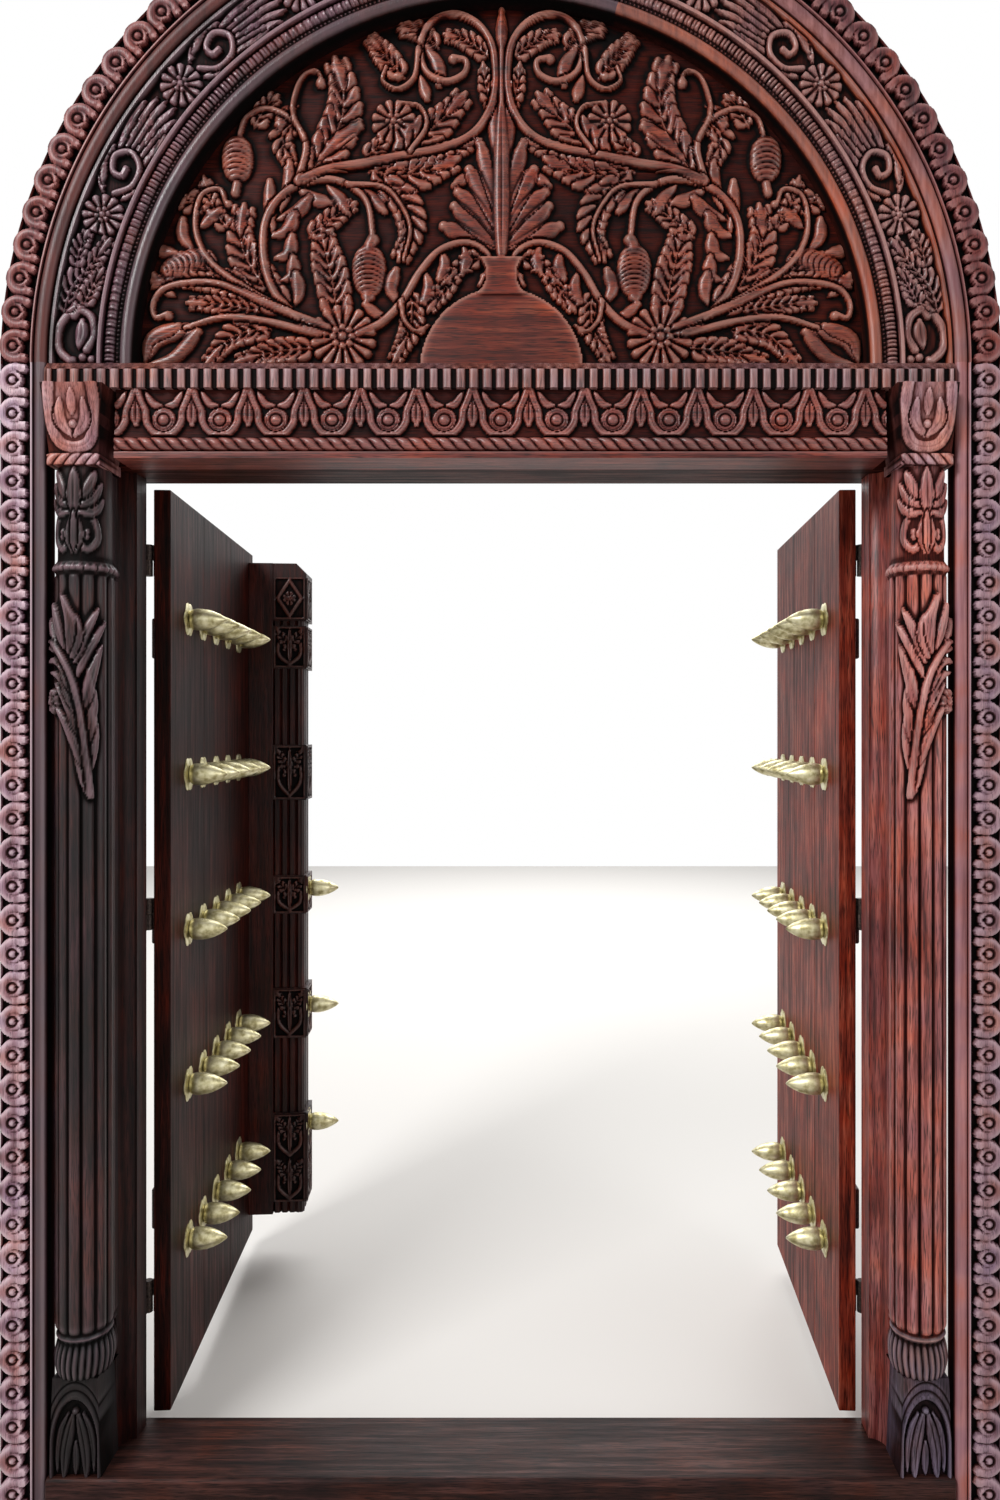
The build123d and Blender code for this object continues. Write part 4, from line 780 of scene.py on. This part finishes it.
for number in range(5):

    def arch_shape(u, v):
        turn = timber_turn * (number + v)
        across = u * architrave_width
        radius = architrave_inner + across
        high = architrave_height(across, np.degrees(turn) / curl_step * curl_pitch, curl_pitch)
        x, z = radius * np.cos(turn), springing + radius * np.sin(turn)
        return x, architrave_ground_y - high, z, high, across < torus_width

    mesh = carved_mesh("carved_architrave_arch_%d" % (number + 1), 38, 215, arch_shape, architrave_back_y)
    settle(mesh, arch_wood[number], "frame", "carved_wood", "architrave_arch_%d" % (number + 1))

for turn, side in ((-1, "left"), (1, "right")):

    def upright_shape(u, v):
        across = (u if turn > 0 else 1 - u) * architrave_width
        z = v * springing
        high = architrave_height(across, z, springing / curls_on_upright)
        x = turn * (architrave_inner + across)
        return x, architrave_ground_y - high, z, high, across < torus_width

    mesh = carved_mesh("carved_architrave_upright_" + side, 36, 780, upright_shape, architrave_back_y)
    settle(mesh, upright_wood[side], "frame", "carved_wood", "architrave_upright_" + side)

# Pedestals: square blocks under the columns. Each face has a sunk horseshoe that stands on its
# ends, with a button under its crown and leaves that hang from it.
# The left pedestal's near black copy of the wood is painted shade
foot_wood = {
    side: hardwood("foot_worn_red_hardwood" + kind, colours, "Z", gloss=gloss, carved=rubbed, sheen=0.2)
    for side, kind, colours, gloss, rubbed in (
        ("left", "_shaded", ("#0a0606", "#1a1113", "#2e2226"), 0.45, "#4a3d43"),
        ("right", "", ("#2a1d24", "#51414e", "#766474"), 0.42, "#8c8092"),
    )
}
pedestal_ground_y = -89.0
horseshoe_radius = 43.0
for side in ("left", "right"):
    block_low, block_high = (corner * 1000 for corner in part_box("pedestal_" + side))
    block_middle = (block_low.x + block_high.x) / 2

    def pedestal_shape(u, v):
        across = (2 * u - 1) * (52 - 8 * v)
        up = v * (block_high.z - block_low.z)
        work = Carving(across, up)
        work.ball(0, 128, 7, 12)
        work.stroke([(0, 66), (0, 36), (0, 2)], 8, 7, leaf=True, crease=1)
        for lean in (-1, 1):
            long_leaf = follow([(lean * 5, 120), (lean * 13, 86), (lean * 20, 46), (lean * 22, -4)], 4)
            work.stroke(long_leaf, 12, 10, leaf=True, crease=2.5, tilt=2)
            side_leaf = follow([(lean * 15, 122), (lean * 28, 92), (lean * 35, 48), (lean * 36, 8)], 4)
            work.stroke(side_leaf, 7, 8, leaf=True, crease=1.5)
        # The face stands proud outside the horseshoe, with two grooves that follow its crown
        crown = np.hypot(across / horseshoe_radius, np.clip(up - 62, 0, None) / 88)
        outside = (crown - 1) * horseshoe_radius
        face = 9 * np.clip(outside / 2.5 + 0.5, 0, 1)
        rim = 3 * np.exp(-(((outside - 3.5) / 2.2) ** 2))
        grooves = 2.5 * (np.exp(-(((outside - 9) / 1.5) ** 2)) + np.exp(-(((outside - 17) / 1.5) ** 2)))
        high = np.clip(np.maximum(work.high, face + rim - grooves), 0, 12)
        return block_middle + across, pedestal_ground_y - high, block_low.z + up, high

    mesh = carved_mesh("carved_pedestal_" + side, 64, 120, pedestal_shape, carving_back_y)
    settle(mesh, foot_wood[side], "frame", "carved_wood", "pedestal_" + side)

# Engaged columns: half columns planted on the jambs, each turned and carved from one post. A
# gadrooned cushion, a reeded shaft with a spray of acanthus tied to it, a beaded ring and a drum.
# The left column is a darker copy of the wood as painted shade, and the right a paler, redder one as painted
# light
column_wood = {
    side: hardwood("carved_red_hardwood" + kind, colours, "Z", gloss=gloss, carved=rubbed, fresh=cushion_dust_and_shade)
    for side, kind, colours, gloss, rubbed, cushion_dust_and_shade in (
        ("left", "_shaded", ("#12080a", "#301b1c", "#563638"), 0.32, "#94767e", ("#0c0709", "#2a2026")),
        ("right", "_column", ("#5a2522", "#ac5e56", "#d68e84"), 0.3, "#dca49c", ("#3a2c34", "#7a6672")),
    )
}
column_axis_x = 830.0
column_axis_y = -61.0
planted_y = -16.5
cushion_top = 350.0
neck_ring = 1837.0
drum_foot = 1867.0
drum_radius = 50.0
spray_foot = 1408.0
spray_stalk = ((-31, -2), (-22, 88), (-12, 170), (6, 242), (38, 292), (72, 302))
# Half width of each leaf of the spray, and its line from the stalk's foot
spray_leaves = (
    (11, ((-23, 6), (-11, 84), (14, 153))),
    (12, ((-19, 59), (4, 128), (30, 171))),
    (11, ((-16, 112), (9, 180), (32, 218))),
    (11, ((-12, 157), (18, 224), (55, 242))),
    (11, ((-7, 193), (25, 257), (74, 260))),
    (10, ((0, 234), (32, 281), (81, 288))),
    (10, ((-26, 31), (-37, 112), (-32, 184))),
    (10, ((-23, 92), (-35, 177), (-26, 245))),
    (11, ((-18, 161), (-33, 234), (-49, 294))),
    (10, ((-9, 234), (-30, 287), (-56, 338))),
    (10, ((-5, 258), (-23, 315), (-44, 364))),
    (11, ((0, 267), (-9, 324), (5, 364))),
    (11, ((7, 279), (4, 340), (19, 392))),
    (10, ((16, 287), (32, 335), (40, 376))),
    (9, ((33, 295), (56, 319), (65, 348))),
)
drum_lobes = (
    ((10, 92), (38, 96), (58, 122)),
    ((8, 104), (34, 118), (54, 152)),
    ((6, 116), (26, 138), (42, 176)),
)
drum_curl = ((3, 112), (36, 84), (47, 44), (26, 20), (10, 40), (24, 54))
for turn, side in ((-1, "left"), (1, "right")):
    post_low, post_high = (corner * 1000 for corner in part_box("column_" + side))

    def column_shape(u, v):
        bearing = (2 * u - 1) * math.radians(122)
        z = post_low.z + v * (post_high.z - post_low.z)
        # Gadroons lean round the cushion
        rise = np.clip((z - post_low.z) / 86, 0, 1)
        gadroon = np.abs(np.cos(bearing * 13 + turn * 1.4 * rise)) ** 0.6
        cushion = 43 + 9 * np.sin(math.pi * np.clip(rise * 1.15, 0, 1)) ** 0.7 + 5.5 * gadroon - 2 * rise
        cushion = np.where(rise > 0.88, 50 + 3 * np.sin(math.pi * (rise - 0.88) / 0.12), cushion)
        # Reeds, half round, with rounded ends at the foot and under the spray
        reed = ((np.degrees(bearing) + 15) % 30.0) / 30.0 - 0.5
        foot_round = np.clip((z - cushion_top) / 14, 0, 1) ** 0.5
        shaft = 45.5 + 9.5 * domed(2 * reed) * foot_round
        ring = 52 + 5 * domed(z - neck_ring - 15, 15)
        bead = np.hypot(((bearing * 56 + 6.5) % 13.0) - 6.5, z - neck_ring - 15) / 6.5
        ring = ring + 3.0 * np.where(bead < 1, domed(bead), -0.6)
        radius = np.where(z < neck_ring, shaft, np.where(z < drum_foot, ring, drum_radius))
        radius = np.where(z < cushion_top, cushion, radius)
        # The spray: long leaves fan out from a stalk, with a flower on the outer side
        around = bearing * 54 * turn
        spray = Carving(around, z - spray_foot)
        for half_width, line in spray_leaves:
            spray.stroke(follow(line, 5), half_width, 9, leaf=True, tilt=4, crease=2, parting=3)
        spray.stroke(follow(spray_stalk), 7, 13, crease=1.5, parting=3)
        spray.rosette(48, 184, 25, 10, 12)
        sprayed = (z > cushion_top) & (z < neck_ring - 4) & (spray.high > 0.5)
        radius = np.where(sprayed, 56 + spray.high * 0.85, radius)
        radius = np.minimum(radius, 70)
        # The drum carries leaves over two scroll curls
        leaves = Carving(around, z - drum_foot)
        leaf_cut = {"leaf": True, "parting": 4}
        for lean in (-1, 1):
            leaves.stroke(follow([(lean * a, b) for a, b in drum_curl]), 8, 7, crease=1, parting=4)
            leaves.ball(lean * 25, 44, 6, 8)
            leaves.stroke([(lean * 4, 16), (lean * 12, 50), (lean * 5, 88)], 9, 6, crease=1.5, **leaf_cut)
            for lobe in drum_lobes:
                lobe_line = follow([(lean * a, b) for a, b in lobe], 4)
                leaves.stroke(lobe_line, 12, 8, tilt=2, crease=2, **leaf_cut)
        leaves.stroke([(0, 92), (0, 130), (0, 178)], 15, 9, crease=2.5, **leaf_cut)
        leaves.stroke([(0, 20), (0, 56), (0, 96)], 8, 8, crease=1.5, **leaf_cut)
        radius = radius + np.where(z > drum_foot, np.clip(leaves.high, 0, 9) * 0.8, 0)
        y = np.minimum(column_axis_y - radius * np.cos(bearing), planted_y)
        # The cushion has its own colours, dulled by dust and feet, and darker on the left as painted shade
        return turn * column_axis_x + radius * np.sin(bearing), y, z, radius, z < cushion_top

    mesh = carved_mesh("carved_column_" + side, 84, 400, column_shape, carving_back_y)
    settle(mesh, column_wood[side], "frame", "carved_wood", "column_" + side)

# Capitals: blocks that spread forward under the rail, with a horseshoe round a curl, a small flower
# over it and a twisted foot.
capital_colours = ("#70403f", "#b47c7a", "#d8a9a8")
capital_wood = hardwood(
    "weathered_red_hardwood_capital", capital_colours, "Z", gloss=0.34, carved="#f2d8d8", pore=0.5
)
capital_axis_x = 826.0
twist_front_y = -114.0
block_front_y = -112.0
foot_tall = 20.0
twist_tall = 24.0
for turn, side in ((-1, "left"), (1, "right")):
    block_low, block_high = (corner * 1000 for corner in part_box("capital_" + side))

    def capital_shape(u, v):
        tall = block_high.z - block_low.z
        level = v * tall
        up = np.clip((level - foot_tall) / (tall - foot_tall), 0, 1)
        inner = np.where(level < foot_tall, 778, 782 - 18 * up)
        outer = np.where(level < foot_tall, 882, 878 + 6 * up)
        x = turn * (outer + (inner - outer) * u) if turn < 0 else inner + (outer - inner) * u
        work = Carving(x - turn * capital_axis_x, level)
        half_shoe = [(40, 160), (44, 120), (42, 80), (28, 44)]
        horseshoe = [(-a, b) for a, b in half_shoe] + [(0, 34)] + half_shoe[::-1]
        work.stroke(follow(horseshoe), 12, 11, crease=1.5)
        for side_way in (-1, 1):
            petal = [(side_way * 3, 56), (side_way * 24, 84), (side_way * 22, 124)]
            work.stroke(follow(petal, 4), 12, 9, leaf=True, crease=1.5, parting=5)
        work.stroke([(0, 96), (0, 116), (0, 142)], 10, 8, leaf=True, crease=1.5, parting=5)
        work.ball(0, 76, 9, 11)
        work.ball(0, 76, 3.5, 2, base=11)
        strand = np.abs(np.cos(math.pi * (x / 21 + turn * 0.9 * level / twist_tall)))
        rope = 6 * strand**0.5 * domed(level - 12, 13)
        # Inside the horseshoe the ground is higher than at the block's foot
        within = np.hypot(work.a / 46, np.minimum(work.b - 90, 0) / 62) < 1
        field = np.where(within, np.maximum(work.high, 2.5), work.high)
        high = np.where(level < twist_tall, rope, np.clip(field, 0, 13) * 0.6)
        high = high * np.clip(np.minimum(u, 1 - u) * 100 / 3, 0.3, 1)
        face_y = np.where(level < twist_tall, twist_front_y, block_front_y - 27 * up)
        return x, np.maximum(face_y - high, block_low.y), block_low.z + level, high

    mesh = carved_mesh("carved_capital_" + side, 50, 70, capital_shape, carving_back_y, ground_shade=0.2)
    settle(mesh, capital_wood, "frame", "carved_wood", "capital_" + side)

# Leaves: three broad planks each, planed and oiled, edge to edge, and nailed to three ledges.
# The left leaf's planks are a darker copy as painted shade, and the right's a paler, redder one as painted
# light
plank_wood = {
    side: hardwood("oiled_red_hardwood_" + kind, colours, "Z", gloss=gloss, sheen=sheen)
    for side, kind, colours, gloss, sheen in (
        ("left", "dark", ("#0f0503", "#2a0d08", "#531d13"), 0.5, 0.08),
        ("right", "planks", ("#2c0905", "#7e2c1c", "#bc5d44"), 0.48, 0.1),
    )
}
ledge_wood = hardwood("sawn_red_hardwood_ledges", ("#26100d", "#4f251e", "#754338"), "Y", gloss=0.5)
for side in ("left", "right"):
    for number in (1, 2, 3):
        node_name = "%s_plank_%d" % (side, number)
        eased(node_name + "_planed", node_name, 0.0022, plank_wood[side], side + "_leaf", "plank_wood")
    eased(side + "_ledge_battens", side + "_ledges", 0.004, ledge_wood, side + "_leaf", "plank_wood")

# Hinges: forged iron plates, screwed on, whose barrels turn on a pin.
hinge_iron = bpy.data.materials.new("forged_iron_blacked")
hinge_iron.use_nodes = True
iron_tree = hinge_iron.node_tree
iron_shader = iron_tree.nodes["Principled BSDF"]
iron_place = {"Vector": node(iron_tree, "TexCoord").outputs["Object"]}
# Hammer marks about 4 mm wide under old oil and a little rust
hammer = node(iron_tree, "TexNoise", {"Scale": 240.0, "Detail": 3.0}, iron_place).outputs[0]
iron_stops = [(0.35, "#2a2220"), (0.6, "#4a3f3a"), (0.75, "#5f4436")]
iron_colour = node(iron_tree, "ValToRGB", {"stops": iron_stops}, {0: hammer})
iron_tree.links.new(iron_colour.outputs[0], iron_shader.inputs["Base Color"])
iron_bump = node(iron_tree, "Bump", {"Strength": 0.4, "Distance": 0.0006}, {"Height": hammer})
iron_tree.links.new(iron_bump.outputs[0], iron_shader.inputs["Normal"])
iron_shader.inputs["Metallic"].default_value = 0.8
iron_shader.inputs["Roughness"].default_value = 0.5
for side in ("left", "right"):
    for kind, owner, body in (("moving", "leaf", side + "_leaf"), ("fixed", "frame", "frame")):
        plates = "%s_%s_hinge_plates" % (side, owner)
        eased("%s_hinge_leaves_%s" % (side, kind), plates, 0.0006, hinge_iron, body, "hinge_iron", 1)

# Centre post: a stout cover post nailed to the left leaf's meeting edge, a plain base with carved
# blocks and reeded shafts in front. The blocks carry curls and leaves, the top one a rosette in a
# diamond. Their faces are laid out as on the closed leaf, and swung open with it about its pin.
post_colours = ("#1c0908", "#3c1a15", "#5c3028")
post_wood = hardwood("carved_red_hardwood_post", post_colours, "Z", gloss=0.36, carved="#7a5048")
post_plain = hardwood("planed_red_hardwood_post", ("#160605", "#31130f", "#532620"), "Z", gloss=0.38)
eased("centre_post_body", "centre_post", 0.002, post_plain, "left_leaf", "carved_wood")
pin_x = 772.0
pin_y = 119.0
open_degrees = {"left": 93.7, "right": 92.3}
plank_face = 49.5
leaf_open = Matrix.Rotation(math.radians(open_degrees["left"]), 4, "Z")
hung = Matrix.Translation((-pin_x / 1000, pin_y / 1000, 0)) @ leaf_open
turned_side = hung @ Matrix.Rotation(-math.pi / 2, 4, "Z")
post_foot = 134.0
post_tall = 1890.0
post_front = plank_face + 165
post_side = 761.0
post_middle = 801.5
# Each block's foot and top as shares of the post
block_shares = ((0.018, 0.155), (0.27, 0.347), (0.461, 0.52), (0.636, 0.721), (0.838, 0.904), (0.912, 0.98))
block_gap = 4.0
border_wide = 5
for number, (low_share, high_share) in enumerate(block_shares):
    foot = post_foot + low_share * post_tall + block_gap
    tall = (high_share - low_share) * post_tall - 2 * block_gap
    # The street face is planed 29 mm off at its far arris, so the carving keeps clear of that
    for face, near, far, front in (
        ("side", post_front - 92, post_front - 4, post_side),
        ("street", post_side + 4, post_side + 78, -post_front),
    ):
        wide = far - near
        heart = (far + near) / 2

        def block_carving(a, b):
            work = Carving(a, b)
            if number == 5:
                middle = tall / 2
                work.stroke([(-34, middle), (0, tall - 8), (34, middle), (0, 8), (-34, middle)], 6, 6)
                work.rosette(0, middle, 20, 8, 5)
                return work.high
            units = max(1, round(tall / 110))
            span = tall / units
            for base in (span * unit for unit in range(units)):
                for lean in (-1, 1):
                    curl = [(0, 8), (30, 0.3 * span), (30, 0.6 * span), (13, 0.62 * span), (15, 0.45 * span)]
                    work.stroke(follow([(lean * a, base + b) for a, b in curl]), 6, 6, crease=1)
                    rib = [(0, 0.5), (22, 0.75), (36, 0.95)]
                    work.feather([(lean * a, base + share * span) for a, share in rib], 16, 6, 7.0)
                middle_leaf = [(0, base + share * span) for share in (0.15, 0.6, 0.97)]
                work.stroke(middle_leaf, 9, 6, leaf=True, crease=2)
            return work.high

        def block_shape(u, v):
            across = near + u * wide
            up = v * tall
            border = np.minimum(np.minimum(u, 1 - u) * wide, np.minimum(v, 1 - v) * tall)
            frame_high = np.where(border < border_wide, 5, 0)
            cut = np.maximum(block_carving(across - heart, up), frame_high)
            high = np.clip(cut, 0, 6) - 1.0
            return across, front - high, foot + up, high

        name = "post_block_%d_%s" % (number + 1, face)
        mesh = carved_mesh(name, 30, max(16, int(tall / 3.2)), block_shape, front + 2)
        mesh.transform(turned_side if face == "side" else hung)
        settle(mesh, post_wood, "left_leaf", "carved_wood")

# Spikes: cast brass, pointed and round bellied, each driven through a cast lobed plate. Polished
# once and now satin, with a greenish brown tarnish in the hollows.
spike_brass = bpy.data.materials.new("cast_brass_satin")
spike_brass.use_nodes = True
brass_tree = spike_brass.node_tree
brass_shader = brass_tree.nodes["Principled BSDF"]
brass_place = {"Vector": node(brass_tree, "TexCoord").outputs["Object"]}
# Tarnish clouds about 15 mm across
tarnish = node(brass_tree, "TexNoise", {"Scale": 65.0, "Detail": 4.0}, brass_place).outputs[0]
brass_stops = [(0.34, "#9c9268"), (0.5, "#cbc39b"), (0.72, "#e6e0c0")]
brass_colour = node(brass_tree, "ValToRGB", {"stops": brass_stops}, {0: tarnish})
brass_tree.links.new(brass_colour.outputs[0], brass_shader.inputs["Base Color"])
brass_rough = node(brass_tree, "MapRange", {1: 0.3, 2: 0.7, 3: 0.5, 4: 0.36}, {0: tarnish})
brass_tree.links.new(brass_rough.outputs[0], brass_shader.inputs["Roughness"])
brass_shader.inputs["Metallic"].default_value = 1.0

# Radius and height round the spike and the plate, in millimetres
spike_profile = (
    *((0, 0), (15, 0), (20, 2), (23.5, 7), (25, 15), (25, 26)),
    *((23, 40), (19, 54), (13, 67), (7, 77), (2.5, 82.5), (0, 84)),
)
plate_profile = ((0, 0), (40, 0), (40, 1.5), (36, 3.2), (26, 3.4), (24, 4), (0, 4))
plate_thick = 4.0
first_column, column_pitch = 130.0, 125.0
first_row, row_pitch = 370.0, 355.0
post_spike_shares = (0.134, 0.317, 0.498)


def turned(name, profile, places, way, sides, lobed=False):
    """One mesh of equal turned castings: a profile spun about its axis, at each place. The rim of a
    lobed one is pulled in between its lobes."""
    maker = bmesh.new()
    lift = way.to_track_quat("Z", "Y").to_matrix().to_4x4()
    for place in places:
        points = [maker.verts.new((radius / 1000, 0, height / 1000)) for radius, height in profile]
        edges = [maker.edges.new(pair) for pair in zip(points[:-1], points[1:])]
        bmesh.ops.spin(
            maker,
            geom=points + edges,
            axis=(0, 0, 1),
            cent=(0, 0, 0),
            steps=sides,
            angle=2 * math.pi,
            use_merge=True,
        )
        cast = [vert for vert in maker.verts if not vert.tag]
        bmesh.ops.remove_doubles(maker, verts=cast, dist=0.00001)
        cast = [vert for vert in maker.verts if not vert.tag]
        bmesh.ops.transform(maker, matrix=Matrix.Translation(place) @ lift, verts=cast)
        for vert in cast:
            vert.tag = True
    for vert in maker.verts if lobed else ():
        nearest = min(places, key=lambda place: (vert.co - place).length_squared)
        arm = vert.co - nearest
        flat = arm - way * arm.dot(way)
        if flat.length > 0.03:
            bearing = math.atan2(flat.z, flat.dot(Vector((0, 0, 1)).cross(way)))
            pull = 0.86 + 0.14 * abs(math.cos(3 * bearing))
            vert.co = nearest + way * arm.dot(way) + flat * pull
    bmesh.ops.recalc_face_normals(maker, faces=maker.faces)
    mesh = bpy.data.meshes.new(name)
    maker.to_mesh(mesh)
    maker.free()
    return mesh


def brass_set(prefix, places, out, body):
    """The lobed plates and the spikes of one leaf or of the post, each set one mesh."""
    mesh = turned(prefix + "_lobed_plates", plate_profile, places, out, 24, lobed=True)
    mesh.set_sharp_from_angle(angle=math.radians(40))
    settle(mesh, spike_brass, body, "spike_brass", prefix + "_spike_plates")
    tops = [place + out * plate_thick / 1000 for place in places]
    mesh = turned(prefix + "_brass_spikes", spike_profile, tops, out, 16)
    mesh.polygons.foreach_set("use_smooth", np.ones(len(mesh.polygons), bool))
    settle(mesh, spike_brass, body, "spike_brass", prefix + "_spikes")


for turn, side in ((-1, "left"), (1, "right")):
    angle = math.radians(open_degrees[side])
    along = Vector((-turn * math.cos(angle), math.sin(angle), 0))
    out = Vector((-turn * math.sin(angle), -math.cos(angle), 0))
    pin = Vector((turn * pin_x, pin_y, 0))
    places = []
    for column in range(5):
        for row in range(5):
            place = pin + along * (first_column + column_pitch * column) + out * plank_face
            places.append((place + Vector((0, 0, first_row + row_pitch * row))) / 1000)
    brass_set(side, places, out, side + "_leaf")
    if side == "left":
        post_out = out
        place = pin + along * post_middle + out * post_front
        levels = [Vector((0, 0, post_foot + share * post_tall)) for share in post_spike_shares]
        post_places = [(place + level) / 1000 for level in levels]
brass_set("post", post_places, post_out, "left_leaf")

# The stage: a plain pale floor, a dim world that is white where it is seen, soft lamps and the camera.
floor_maker = bmesh.new()
bmesh.ops.create_grid(floor_maker, x_segments=1, y_segments=1, size=10.0)
floor_mesh = bpy.data.meshes.new("floor")
floor_maker.to_mesh(floor_mesh)
floor_maker.free()
floor = bpy.data.objects.new("floor", floor_mesh)
bpy.context.scene.collection.objects.link(floor)
# Matt pale plaster, an even warm grey
floor_plaster = bpy.data.materials.new("pale_plaster_floor")
floor_plaster.use_nodes = True
floor_shader = floor_plaster.node_tree.nodes["Principled BSDF"]
floor_shader.inputs["Base Color"].default_value = srgb("#e9e6e2")
floor_shader.inputs["Roughness"].default_value = 0.85
floor_mesh.materials.append(floor_plaster)

world = bpy.data.worlds.new("studio")
bpy.context.scene.world = world
world.use_nodes = True
sky = world.node_tree
ambient = sky.nodes["Background"]
ambient.inputs["Color"].default_value = (1, 1, 1, 1)
ambient.inputs["Strength"].default_value = 0.32
rays = node(sky, "LightPath")
seen = rays.outputs["Is Camera Ray"]
for kind in ("Is Glossy Ray", "Is Transmission Ray"):
    seen = node(sky, "Math", {"operation": "MAXIMUM"}, {0: seen, 1: rays.outputs[kind]}).outputs[0]
white = node(sky, "Background", {"Color": (1, 1, 1, 1), "Strength": 1.0})
chosen = node(sky, "MixShader", {}, {0: seen, 1: ambient.outputs[0], 2: white.outputs[0]})
sky.links.new(chosen.outputs[0], sky.nodes["World Output"].inputs[0])


def lamp(name, place, aim, size, power):
    """A soft area lamp at one place, turned toward another."""
    light = bpy.data.lights.new(name, "AREA")
    light.size = size
    light.energy = power
    stand = bpy.data.objects.new(name, light)
    stand.location = place
    stand.rotation_euler = (Vector(aim) - Vector(place)).to_track_quat("-Z", "Y").to_euler()
    bpy.context.scene.collection.objects.link(stand)


lamp("key_lamp", (-3.0, -3.4, 4.8), (0, 0, 1.7), 1.8, 230)
lamp("fill_lamp", (3.6, -3.2, 2.2), (0, 0, 1.4), 2.4, 40)
lamp("floor_lamp", (0.2, 6.0, 5.4), (0, 4.6, 0), 6.0, 420)

camera_data = bpy.data.cameras.new("camera")
camera_data.sensor_fit = "VERTICAL"
camera_data.sensor_height = 36.0
camera_data.lens = 25.08
camera_data.shift_x = -0.03
camera_data.shift_y = -0.01
camera = bpy.data.objects.new("camera", camera_data)
camera.location = (0.087, -2.146, 1.525)
camera.rotation_euler = (math.radians(90), 0, 0)
bpy.context.scene.collection.objects.link(camera)
bpy.context.scene.camera = camera
bpy.context.scene.view_settings.view_transform = "Standard"
